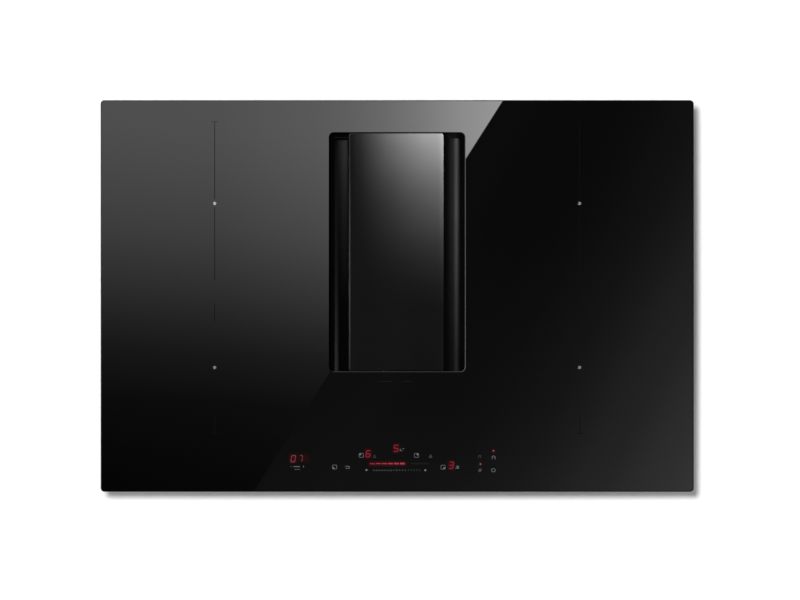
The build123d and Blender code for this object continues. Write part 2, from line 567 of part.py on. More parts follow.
def blower_group():
    keep("blower_base", blower_base())
    keep("blower_cover", blower_cover())
    keep("scroll_body", scroll_body())
    keep("scroll_lid", scroll_lid())
    keep("impeller", impeller())
    keep("motor_shaft", rod(HUB_X, HUB_Y, 37, 86, SHAFT_R))
    keep("blower_motor", blower_motor())
    spots = [Rot(0, 0, 120 * i) * Pos(47, 0, 0) for i in range(3)]
    floor = SCROLL_Z0 + SCROLL_T
    keep("motor_bushes", *[Pos(HUB_X, HUB_Y, 0) * at * rod(0, 0, floor, 31, 6.0) for at in spots])


# ---------------------------------------------------------------- outlet and damper
FLAP_AXES = {"upper": 112.5, "lower": 69.5}


def damper_frame():
    x0, x1, z0, z1 = DUCT_X0 + 0.2, DUCT_X1 - 0.2, SCROLL_Z0 + SCROLL_T + 0.2, SCROLL_Z1 - 0.2
    t, y0 = 2.5, DAMPER_Y - 6
    frame = block(x0, x1, y0, BLOW_Y1, z0, z1)
    frame -= block(x0 + t, x1 - t, y0 - 1, BLOW_Y1 + 1, z0 + t, z1 - t)
    return frame - [rod_x(DAMPER_Y, z, x0 - 1, x1 + 1, DAMPER_PIN_R + RUN) for z in FLAP_AXES.values()]


def damper_flap(axis_z, length):
    """A thin leaf that hangs from its own axle stubs."""
    x0, x1 = DUCT_X0 + 3.5, DUCT_X1 - 3.5
    leaf = block(x0, x1, DAMPER_Y - 0.8, DAMPER_Y + 0.8, axis_z - length, axis_z)
    rib = block(x0 + 20, x1 - 20, DAMPER_Y, DAMPER_Y + 2, axis_z - length + 6, axis_z - length + 9)
    return leaf + rib + rod_x(DAMPER_Y, axis_z, DUCT_X0 + 0.5, DUCT_X1 - 0.5, DAMPER_PIN_R)


def outlet_spigot():
    mid_x = (DUCT_X0 + DUCT_X1) / 2
    half_w, half_h, t, y1 = DUCT_W / 2, DUCT_H / 2, 2.5, GLASS_D / 2 - 0.5
    body = block(mid_x - 120, mid_x + 120, BLOW_Y1, BLOW_Y1 + 3, DUCT_MID_Z - 54, DUCT_MID_Z + 54)
    body += block(
        mid_x - half_w, mid_x + half_w, BLOW_Y1 + 1, y1, DUCT_MID_Z - half_h, DUCT_MID_Z + half_h
    )
    bore = (mid_x - half_w + t, mid_x + half_w - t, BLOW_Y1 - 1, y1 + 1)
    return body - block(*bore, DUCT_MID_Z - half_h + t, DUCT_MID_Z + half_h - t)


def outlet_group():
    keep("damper_frame", damper_frame())
    keep("damper_flap_upper", damper_flap(FLAP_AXES["upper"], 41.0))
    keep("damper_flap_lower", damper_flap(FLAP_AXES["lower"], 40.0))
    keep("outlet_spigot", outlet_spigot())


# ---------------------------------------------------------------- terminal and control boxes
GLAND_X, GLAND_Z, GLAND_R = -250.0, 129.0, 6.5


def terminal_box():
    body = slab(-330, -170, 110, 232, 108, CASE_Z0, 5.0) - slab(-328, -172, 112, 230, 107, 148, 3.0)
    body -= rod_y(GLAND_X, GLAND_Z, 228, 234, 10.2)
    return body - rod(-300, 170, 147, CASE_Z0 + 1, 9.0)


def cable_gland():
    """Screwed entry for the mains lead, with a hexagon nut."""
    axis = Plane(origin=(GLAND_X, 226, GLAND_Z), x_dir=(1, 0, 0), z_dir=(0, 1, 0))
    body = extrude(axis * Circle(10.0), 26)
    body += extrude(Plane(axis.origin + Vector(0, 6, 0), (1, 0, 0), (0, 1, 0)) * RegularPolygon(13.0, 6), 9)
    return body - rod_y(GLAND_X, GLAND_Z, 225, 253, GLAND_R)


def box_group():
    keep("terminal_box", terminal_box())
    block_body = block(-290, -210, 140, 172, 126, 148)
    block_body -= [rod(-282 + 12.8 * i, 156, 125, 136, 4.2) for i in range(6)]
    keep("terminal_block", block_body)
    keep("cable_gland", cable_gland())
    control = block(160, 330, -176, BLOW_Y0, 62, 112)
    keep("fan_control_box", control - block(162, 328, -174, BLOW_Y0 - 2, 61, 110))
    keep("fan_control_board", block(166, 324, -170, BLOW_Y0 - 6, 80, 81.6))
    keep("box_lids", slab(-330, -170, 110, 232, 106, 108, 5.0), block(160, 330, -176, BLOW_Y0, 60, 62))


# ---------------------------------------------------------------- screws
def screw(x, y, z, length):
    """Pan-head screw that points down from z."""
    body = rod(x, y, z - length, z + 0.5, SCREW_R) + rod(x, y, z, z + 2.4, 3.8)
    return body - block(x - 2, x + 2, y - 0.5, y + 0.5, z + 1.4, z + 3)


def screw_group():
    well = [screw(x, y, BASIN_Z0 + 4, 19) for x, y in WELL_SCREWS]
    blower = [screw(x, y, CASE_Z0 + CASE_T, 10) for x, y in BOSSES]
    keep("housing_screws", *well, *blower)
    keep("spring_clips", *[spring_clip(side, y) for side in (-1, 1) for y in (-150, 150)])


glass_group()
keep("hob_casing", hob_casing())
coil_group()
print_winding_gap()
power_group()
touch_group()
intake_group()
filter_group()
well_group()
blower_group()
outlet_group()
box_group()
screw_group()

os.makedirs("parts", exist_ok=True)
for name, shape in nodes.items():
    export_step(shape, "parts/" + name + ".step")
print(len(nodes), "nodes")
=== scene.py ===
"""Looks of a downdraft induction cooktop: finishes, printed marks, lit displays and the studio.

Metres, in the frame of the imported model: +X right, +Y to the rear of the worktop, +Z up. A piece is modelled in
millimetres and scaled when it is finished.
"""

import logging
import math
from dataclasses import dataclass, field
from enum import Enum
from typing import Any, ClassVar, Iterable, Optional

import bmesh
import bpy
from mathutils import Matrix, Vector


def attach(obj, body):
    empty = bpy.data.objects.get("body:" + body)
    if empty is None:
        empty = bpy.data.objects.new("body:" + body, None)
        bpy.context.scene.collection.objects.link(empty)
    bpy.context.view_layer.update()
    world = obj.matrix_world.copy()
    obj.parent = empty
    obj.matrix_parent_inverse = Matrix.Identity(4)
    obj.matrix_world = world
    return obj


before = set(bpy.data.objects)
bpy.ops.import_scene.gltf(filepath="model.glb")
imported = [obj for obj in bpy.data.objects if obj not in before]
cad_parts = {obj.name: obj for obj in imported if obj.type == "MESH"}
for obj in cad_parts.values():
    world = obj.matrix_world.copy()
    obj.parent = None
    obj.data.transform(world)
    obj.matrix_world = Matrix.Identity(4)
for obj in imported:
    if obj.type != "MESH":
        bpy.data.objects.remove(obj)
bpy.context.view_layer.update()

LOG = logging.getLogger("cooktop")
MM = 0.001

Tree = bpy.types.NodeTree
Socket = bpy.types.NodeSocket
Pair = tuple[float, float]
Point = tuple[float, float, float]
Stops = list[Pair]


# ------------------------------------------------------------------ small tools
def linear(code: str) -> tuple[float, float, float, float]:
    """Turns an sRGB hex colour into linear RGBA.

    Args:
        code: Six hex digits after a hash.

    Returns:
        Linear red, green, blue and an alpha of one.
    """
    channels = [int(code[i : i + 2], 16) / 255 for i in (1, 3, 5)]
    curve = [c / 12.92 if c <= 0.04045 else ((c + 0.055) / 1.055) ** 2.4 for c in channels]
    return (curve[0], curve[1], curve[2], 1.0)


def per_mm(size: float) -> float:
    """Texture scale in Object coordinates for a feature of this many millimetres."""
    return 1.0 / (size * MM)


def add_node(
    tree: Tree, kind: str, values: Optional[dict[Any, Any]] = None, links: Optional[dict[Any, Socket]] = None,
    **settings: Any,
) -> bpy.types.Node:
    """Adds one shader node.

    Args:
        tree: The node tree it goes into.
        kind: Its bl_idname.
        values: Constants for its input sockets, by name or number.
        links: Output sockets that feed its inputs, by name or number.
        **settings: Attributes of the node itself.

    Returns:
        The new node.
    """
    node = tree.nodes.new(kind)
    for key, value in settings.items():
        setattr(node, key, value)
    for socket, value in (values or {}).items():
        node.inputs[socket].default_value = value
    for socket, source in (links or {}).items():
        tree.links.new(source, node.inputs[socket])
    return node


def add_object(name: str, data: Any) -> bpy.types.Object:
    """Makes an object of a mesh, lamp or camera, and puts it into the scene."""
    made = bpy.data.objects.new(name, data)
    bpy.context.scene.collection.objects.link(made)
    return made


def add_mesh(name: str, mesh: bmesh.types.BMesh) -> bpy.types.Object:
    """Makes an object of a mesh under construction, which is freed.

    Args:
        name: The object's name.
        mesh: The mesh under construction.

    Returns:
        The object, in the scene.
    """
    data = bpy.data.meshes.new(name)
    mesh.to_mesh(data)
    mesh.free()
    return add_object(name, data)


# ------------------------------------------------------------------ finishes
class Axis(Enum):
    """The way that a grain, a cylinder or a row of boxes runs."""

    X = 0
    Y = 1
    Z = 2


@dataclass(frozen=True)
class Surface:
    """A material under construction: its node tree, its shader and the place on the piece."""

    tree: Tree
    shader: bpy.types.Node
    place: Socket


@dataclass(frozen=True)
class Finish:
    """What every finish states: its name, its two tones, its gloss and its relief."""

    name: str
    tone: str
    second: str
    roughness: float
    metallic: float = 0.0
    ior: float = 1.5
    sheen: float = 0.5
    spread: float = 0.08
    depth_mm: float = 0.05
    relief: float = 1.0

    def build(self) -> bpy.types.Material:
        """Makes the material once, and hands it out again after that.

        Returns:
            The finished node material.
        """
        made = bpy.data.materials.get(self.name)
        if made is not None:
            return made
        material = bpy.data.materials.new(self.name)
        material.use_nodes = True
        tree = material.node_tree
        shader = tree.nodes["Principled BSDF"]
        values = {"Base Color": linear(self.tone), "Roughness": self.roughness, "Metallic": self.metallic}
        if self.metallic < 0.5:
            values.update({"IOR": self.ior, "Specular IOR Level": self.sheen})
        for socket, value in values.items():
            shader.inputs[socket].default_value = value
        place = add_node(tree, "ShaderNodeTexCoord").outputs["Object"]
        self.pattern(Surface(tree, shader, place))
        return material

    def pattern(self, on: Surface) -> None:
        """Adds what makes the surface of this finish. Each kind of finish has its own.

        Args:
            on: The material.
        """
        raise NotImplementedError

    def mix_tones(self, on: Surface, factor: Socket) -> None:
        """Blends the two tones and feeds the base colour.

        Args:
            on: The material.
            factor: The pattern, from 0 to 1.
        """
        tones = {6: linear(self.tone), 7: linear(self.second)}
        mix = add_node(on.tree, "ShaderNodeMix", tones, {0: factor}, data_type="RGBA")
        on.tree.links.new(mix.outputs[2], on.shader.inputs["Base Color"])

    def vary_gloss(self, on: Surface, factor: Socket) -> None:
        """Lets the roughness wander by the finish's spread to either side.

        Args:
            on: The material.
            factor: The pattern, from 0 to 1.
        """
        values = {"To Min": self.roughness - self.spread, "To Max": self.roughness + self.spread}
        band = add_node(on.tree, "ShaderNodeMapRange", values, {"Value": factor})
        on.tree.links.new(band.outputs["Result"], on.shader.inputs["Roughness"])

    def add_bump(self, on: Surface, height: Socket) -> None:
        """Feeds a height pattern to the shader's normal.

        Args:
            on: The material.
            height: The pattern, from 0 to 1.
        """
        values = {"Strength": self.relief, "Distance": self.depth_mm * MM}
        bump = add_node(on.tree, "ShaderNodeBump", values, {"Height": height})
        on.tree.links.new(bump.outputs["Normal"], on.shader.inputs["Normal"])


@dataclass(frozen=True)
class Polished(Finish):
    """Fire-polished glass over a black ceramic print, with a trace of speckle below the surface."""

    # Real pigment is far finer than this, and wouldn't show.
    speckle_mm: float = 1.2

    def pattern(self, on: Surface) -> None:
        """Fine speckle in the print.

        Args:
            on: The material.
        """
        grain = add_node(on.tree, "ShaderNodeTexVoronoi", {"Scale": per_mm(self.speckle_mm)}, {"Vector": on.place})
        self.mix_tones(on, grain.outputs["Distance"])


@dataclass(frozen=True)
class Moulded(Finish):
    """Injection-moulded plastic or rubber with an eroded mould texture."""

    spread: float = 0.06
    # Real mould grain is about 0.2 mm, and is drawn coarser to show.
    grain_mm: float = 1.4
    flow_mm: float = 45.0

    def pattern(self, on: Surface) -> None:
        """Spark-eroded grain, flow mottling and uneven gloss.

        Args:
            on: The material.
        """
        eroded = {"Scale": per_mm(self.grain_mm), "Detail": 3.0, "Roughness": 0.6}
        mottled = {"Scale": per_mm(self.flow_mm), "Detail": 2.0, "Distortion": 0.4}
        grain = add_node(on.tree, "ShaderNodeTexNoise", eroded, {"Vector": on.place}).outputs["Fac"]
        flow = add_node(on.tree, "ShaderNodeTexNoise", mottled, {"Vector": on.place}).outputs["Fac"]
        self.mix_tones(on, flow)
        self.vary_gloss(on, flow)
        self.add_bump(on, grain)


@dataclass(frozen=True)
class Spangled(Finish):
    """Hot-dip galvanised sheet: frozen zinc crystals, each with its own tone and gloss."""

    metallic: float = 1.0
    spread: float = 0.09
    depth_mm: float = 0.08
    relief: float = 0.35
    crystal_mm: float = 14.0
    ragged_mm: float = 6.0
    warp_mm: float = 9.0

    def pattern(self, on: Surface) -> None:
        """Crystal cells with ragged borders, each a little raised.

        Args:
            on: The material.
        """
        soft = {"Scale": per_mm(self.warp_mm), "Detail": 2.0}
        warp = add_node(on.tree, "ShaderNodeTexNoise", soft, {"Vector": on.place})
        moved = add_node(
            on.tree, "ShaderNodeVectorMath", {1: (self.ragged_mm * MM,) * 3},
            {0: warp.outputs["Color"], 2: on.place}, operation="MULTIPLY_ADD",
        )
        scale = {"Scale": per_mm(self.crystal_mm)}
        cells = add_node(on.tree, "ShaderNodeTexVoronoi", scale, {"Vector": moved.outputs[0]}).outputs
        tone = add_node(on.tree, "ShaderNodeSeparateColor", None, {"Color": cells["Color"]})
        self.mix_tones(on, tone.outputs["Red"])
        self.vary_gloss(on, tone.outputs["Green"])
        self.add_bump(on, cells["Distance"])


@dataclass(frozen=True)
class Brushed(Finish):
    """Metal with a one-way grain from rolling, brushing or drawing."""

    metallic: float = 1.0
    depth_mm: float = 0.02
    relief: float = 0.5
    along: Axis = Axis.Y
    # Real lines are about 0.1 mm apart, and are drawn coarser to show.
    line_mm: float = 0.7
    drawn_out: float = 40.0

    def pattern(self, on: Surface) -> None:
        """Noise drawn out along the grain.

        Args:
            on: The material.
        """
        stretch = [1.0, 1.0, 1.0]
        stretch[self.along.value] = 1.0 / self.drawn_out
        drawn = add_node(on.tree, "ShaderNodeMapping", {"Scale": stretch}, {"Vector": on.place}).outputs["Vector"]
        fine = {"Scale": per_mm(self.line_mm), "Detail": 4.0}
        lines = add_node(on.tree, "ShaderNodeTexNoise", fine, {"Vector": drawn}).outputs["Fac"]
        self.mix_tones(on, lines)
        self.vary_gloss(on, lines)
        self.add_bump(on, lines)


@dataclass(frozen=True)
class Sintered(Finish):
    """Pressed and fired, or granular, material with visible grains."""

    spread: float = 0.1
    depth_mm: float = 0.15
    relief: float = 0.6
    # The finest grains are drawn coarser than they are, to show.
    grain_mm: float = 1.0

    def pattern(self, on: Surface) -> None:
        """Packed grains, each a little lighter or darker.

        Args:
            on: The material.
        """
        scale = {"Scale": per_mm(self.grain_mm)}
        grains = add_node(on.tree, "ShaderNodeTexVoronoi", scale, {"Vector": on.place}).outputs
        tone = add_node(on.tree, "ShaderNodeSeparateColor", None, {"Color": grains["Color"]})
        self.mix_tones(on, tone.outputs["Red"])
        self.vary_gloss(on, tone.outputs["Blue"])
        self.add_bump(on, grains["Distance"])


@dataclass(frozen=True)
class Stranded(Finish):
    """Litz wire: a twisted bundle of enamelled strands."""

    metallic: float = 1.0
    depth_mm: float = 0.2
    relief: float = 0.8
    # Real strands are about 0.3 mm thick, and are drawn coarser to show.
    lay_mm: float = 2.4

    def pattern(self, on: Surface) -> None:
        """Slanted strand lines with a relief of their own.

        Args:
            on: The material.
        """
        twist = {"Scale": per_mm(self.lay_mm) / math.tau, "Distortion": 1.5, "Detail": 1.0}
        strands = add_node(
            on.tree, "ShaderNodeTexWave", twist, {"Vector": on.place}, bands_direction="DIAGONAL"
        ).outputs["Fac"]
        self.mix_tones(on, strands)
        self.vary_gloss(on, strands)
        self.add_bump(on, strands)


@dataclass(frozen=True)
class Laminate(Finish):
    """Circuit board: solder mask over copper tracks on a regular grid."""

    spread: float = 0.07
    depth_mm: float = 0.07
    relief: float = 0.6
    pitch_mm: float = 2.54
    fibre_mm: float = 0.9

    def pattern(self, on: Surface) -> None:
        """Track edges from a brick lattice, raised through the mask.

        Args:
            on: The material.
        """
        lattice = {"Scale": per_mm(self.pitch_mm * 4), "Mortar Size": 0.035, "Brick Width": 1.3, "Row Height": 0.25}
        tracks = add_node(on.tree, "ShaderNodeTexBrick", lattice, {"Vector": on.place}, offset=0.37).outputs["Fac"]
        fibre = add_node(on.tree, "ShaderNodeTexNoise", {"Scale": per_mm(self.fibre_mm)}, {"Vector": on.place})
        self.mix_tones(on, tracks)
        self.add_bump(on, tracks)
        self.vary_gloss(on, fibre.outputs["Fac"])


@dataclass(frozen=True)
class Printed(Finish):
    """Screen-printed ceramic ink or lustre, fired on the glass, with slightly uneven cover."""

    spread: float = 0.05
    # A screen's mesh is about 0.1 mm, and is drawn coarser to show.
    cover_mm: float = 0.8

    def pattern(self, on: Surface) -> None:
        """Uneven cover from the screen's mesh.

        Args:
            on: The material.
        """
        mesh = {"Scale": per_mm(self.cover_mm), "Detail": 2.0}
        cover = add_node(on.tree, "ShaderNodeTexNoise", mesh, {"Vector": on.place}).outputs["Fac"]
        self.mix_tones(on, cover)
        self.vary_gloss(on, cover)


@dataclass(frozen=True)
class Lit(Finish):
    """Light-emitting display segments seen through the glass."""

    glow: str = "#FF2A1E"
    strength: float = 1.0
    cell_mm: float = 2.5
    uneven: float = 0.2

    def pattern(self, on: Surface) -> None:
        """A glow that wanders a little from diode to diode.

        Args:
            on: The material.
        """
        on.shader.inputs["Emission Color"].default_value = linear(self.glow)
        cells = add_node(on.tree, "ShaderNodeTexNoise", {"Scale": per_mm(self.cell_mm)}, {"Vector": on.place})
        levels = {"To Min": self.strength * (1 - self.uneven), "To Max": self.strength * (1 + self.uneven)}
        band = add_node(on.tree, "ShaderNodeMapRange", levels, {"Value": cells.outputs["Fac"]})
        on.tree.links.new(self.shape_glow(on, band.outputs["Result"]), on.shader.inputs["Emission Strength"])
        self.mix_tones(on, cells.outputs["Fac"])

    def shape_glow(self, on: Surface, level: Socket) -> Socket:
        """Spreads the glow over the whole piece."""
        return level


@dataclass(frozen=True)
class Haze(Lit):
    """Black print lit from behind, fading out by the mesh's own glow attribute."""

    def shape_glow(self, on: Surface, level: Socket) -> Socket:
        """Lets the glow fade by the attribute."""
        fade = add_node(on.tree, "ShaderNodeAttribute", attribute_name="glow").outputs["Fac"]
        return add_node(on.tree, "ShaderNodeMath", None, {0: level, 1: fade}, operation="MULTIPLY").outputs[0]


# Glass ceramic, black print on the underside: near-black body, mirror-smooth top.
GLASS_CERAMIC = Polished("black_glass_ceramic", "#020202", "#040404", 0.0, ior=1.5)
# Toughened glass, satin-etched: same black, a soft broad sheen in place of the mirror.
SATIN_GLASS = Moulded(
    "satin_black_glass", "#121212", "#141414", 0.5, sheen=0.25, grain_mm=0.6, depth_mm=0.004, spread=0.02
)
# Closed-cell foam rubber: dull, pitted black.
FOAM_RUBBER = Sintered("foam_rubber", "#262626", "#313131", 0.92, grain_mm=0.8)
# Extruded aluminium: bright with fine lines along the profile.
EXTRUDED_ALUMINIUM = Brushed("extruded_aluminium", "#B9BBBD", "#D0D1D3", 0.38, along=Axis.X)
# Hot-dip galvanised steel: cool grey crystals.
GALVANISED_STEEL = Spangled("galvanised_steel", "#787F82", "#BBC0C2", 0.42)
# Copper litz under clear enamel: warm, glossy strands that run slantwise.
LITZ_COPPER = Stranded("litz_copper", "#8A4A2C", "#C9784C", 0.36)
# Pressed aluminium sheet, mill finish: pale grey with rolling lines and a soft shine.
MILL_ALUMINIUM = Brushed("mill_aluminium", "#A9ABAD", "#C8CACC", 0.34)
# Manganese-zinc ferrite: dark, dense ceramic.
FERRITE = Sintered("ferrite", "#2E2E31", "#3E3E42", 0.6, grain_mm=0.7, depth_mm=0.05)
# Mica paper: flaky, pearly grey-tan.
MICA = Sintered("mica_paper", "#A59B84", "#C9C1AC", 0.4, grain_mm=3.0, depth_mm=0.05)
# Glass-filled nylon: off-white, half matt, a little mottled.
SENSOR_NYLON = Moulded("glass_filled_nylon", "#CFCBC0", "#DAD6CC", 0.55, ior=1.53)
# Flame-retardant ABS: black with an even mould grain and a low sheen.
TRAY_ABS = Moulded("flame_retardant_abs", "#353638", "#3D3E41", 0.5, ior=1.53)
# Epoxy glass laminate under solder mask: glossy green with raised tracks in a lighter green.
CIRCUIT_BOARD = Laminate("epoxy_laminate", "#0F4A2C", "#2B7A4B", 0.36, ior=1.55)
# Extruded aluminium, left bright: pale and shiny, with lines along the fins.
HEAT_SINK = Brushed("heat_sink_aluminium", "#BFC1C3", "#D8D9DA", 0.35)
# Shrunk PVC sleeve: smooth, glossy dark blue.
CAPACITOR_SLEEVE = Moulded("pvc_sleeve", "#1B2A55", "#223468", 0.3, grain_mm=4.0, depth_mm=0.02)
# Glass-filled polyester of small fans: near-black and half matt.
FAN_PBT = Moulded("black_pbt", "#2B2C2E", "#333436", 0.45, ior=1.55)
# PVC ribbon cable: grey, with a groove between each two wires.
RIBBON_PVC = Brushed("ribbon_pvc", "#7E8489", "#A9AFB4", 0.45, metallic=0.0, line_mm=1.27, depth_mm=0.3)
# Moulded ABS: black, with its tone darkened further to dead black as painted shade, so that the opening reads as a
# shadow; hardly any sheen.
BLACK_ABS_PAINTED_SHADE = Moulded(
    "black_abs_painted_shade", "#060606", "#080808", 0.65, ior=1.53, sheen=0.05, grain_mm=0.8, depth_mm=0.01, spread=0.03
)
# Moulded polypropylene: nearly the same black, with a little more sheen on the walls.
BASIN_PP = Moulded(
    "matt_black_polypropylene", "#0A0A0A", "#0D0D0D", 0.55, ior=1.49, sheen=0.1, grain_mm=0.8, depth_mm=0.01,
    spread=0.03,
)
# Ground stainless steel: bright, with fine lines along the rod or shaft.
GROUND_STEEL = Brushed("ground_stainless_steel", "#9FA1A3", "#BFC1C3", 0.22)
# Perforated aluminium sheet: pale metal with a soft, lined shine.
FILTER_ALUMINIUM = Brushed("filter_aluminium", "#9A9C9E", "#BFC1C3", 0.4)
# Activated carbon: black, crumbly grains with no shine.
CARBON = Sintered("activated_carbon", "#242425", "#363638", 0.85, grain_mm=1.5, depth_mm=0.4)
# Stainless steel, brushed lengthwise: grey lines and a long soft highlight.
TRAY_STEEL = Brushed("brushed_stainless_steel", "#8F9193", "#B4B6B8", 0.32)
# Mass-coloured polypropylene with a coarse mould grain: charcoal and half matt.
HOUSING_PP = Moulded("charcoal_polypropylene", "#2B2C2E", "#343537", 0.5, ior=1.49, grain_mm=1.8, depth_mm=0.08)
# Mass-coloured ABS: dark grey, a little smoother than the housings.
SCROLL_ABS = Moulded("dark_grey_abs", "#4A4C4F", "#54565A", 0.48, ior=1.53)
# Glass-filled polyamide: grey, with a faintly mottled surface.
WHEEL_PA = Moulded("glass_filled_polyamide", "#5A5C5F", "#66686B", 0.5, ior=1.53)
# Zinc-coated deep-drawn steel: cool grey, with drawing lines up the can.
MOTOR_STEEL = Brushed("zinc_coated_steel", "#8C9094", "#AEB2B6", 0.33, along=Axis.Z)
# Moulded polyamide: mid grey and half matt.
GLAND_PA = Moulded("grey_polyamide", "#76787A", "#838587", 0.48, ior=1.53)
# Bright zinc plating: small, cool glints.
SCREW_ZINC = Brushed("bright_zinc", "#A3A7AA", "#C6CACD", 0.28, line_mm=0.4, along=Axis.X)
# Blued spring steel: dark blue-grey with a tight shine.
SPRING_STEEL = Brushed("spring_steel", "#5C6166", "#7E848A", 0.3, along=Axis.Z)
# Ground and blackened edge of glass: a dull grey line without the mirror of the top.
GROUND_EDGE = Sintered("ground_glass_edge", "#1E1E1F", "#242425", 0.6, sheen=0.1, grain_mm=0.5, depth_mm=0.01)
# Silver lustre of the zone marks: metal flakes in the glaze, which give back a part of what is above them.
SILVER_LUSTRE = Printed("silver_lustre_ink", "#8C8E90", "#9C9EA0", 0.25, metallic=0.67)
# Light-grey ceramic ink, thinly laid: soft grey strokes that don't mirror.
GREY_INK = Printed("grey_ceramic_ink", "#5C5E60", "#6C6E70", 0.85, sheen=0.1)
# The same ink, thinner still: only just legible on the glass.
DIM_INK = Printed("dim_ceramic_ink", "#3A3C3D", "#464849", 0.85, sheen=0.1)
# Only just lighter than the glass, on unlit fields.
FAINT_INK = Printed("faint_ceramic_ink", "#131314", "#171718", 0.85, sheen=0.1)
# Anthracite ceramic ink: matt lines, darker than the glass where it mirrors.
DARK_INK = Printed("anthracite_ceramic_ink", "#0C0C0D", "#101011", 0.95, sheen=0.0)
# Red seven-segment diodes behind the glass: saturated red strokes.
RED_DIODES = Lit("red_diode_display", "#1C0505", "#240707", 0.4, glow="#FF4460", strength=0.25)
# The same diodes, dimmed: a paler, weaker red.
DIM_DIODES = Lit("dimmed_red_diodes", "#140606", "#1C0808", 0.4, glow="#FF7C8C", strength=0.21)
# Indicator diodes, paler than the digits.
PALE_DIODES = Lit("pale_red_diodes", "#181010", "#201414", 0.4, glow="#FFB8C0", strength=0.3)
# The level bar, the brightest of the diodes.
BAR_DIODES = Lit("red_level_bar", "#1C0505", "#240707", 0.4, glow="#FF6278", strength=0.34)
# Stray red light in the black print round lit diodes: a faint dark-red halo.
RED_HAZE = Haze(
    "red_light_in_print", "#020202", "#040404", 0.0, glow="#B00420", strength=0.055, cell_mm=3.0, uneven=0.3
)


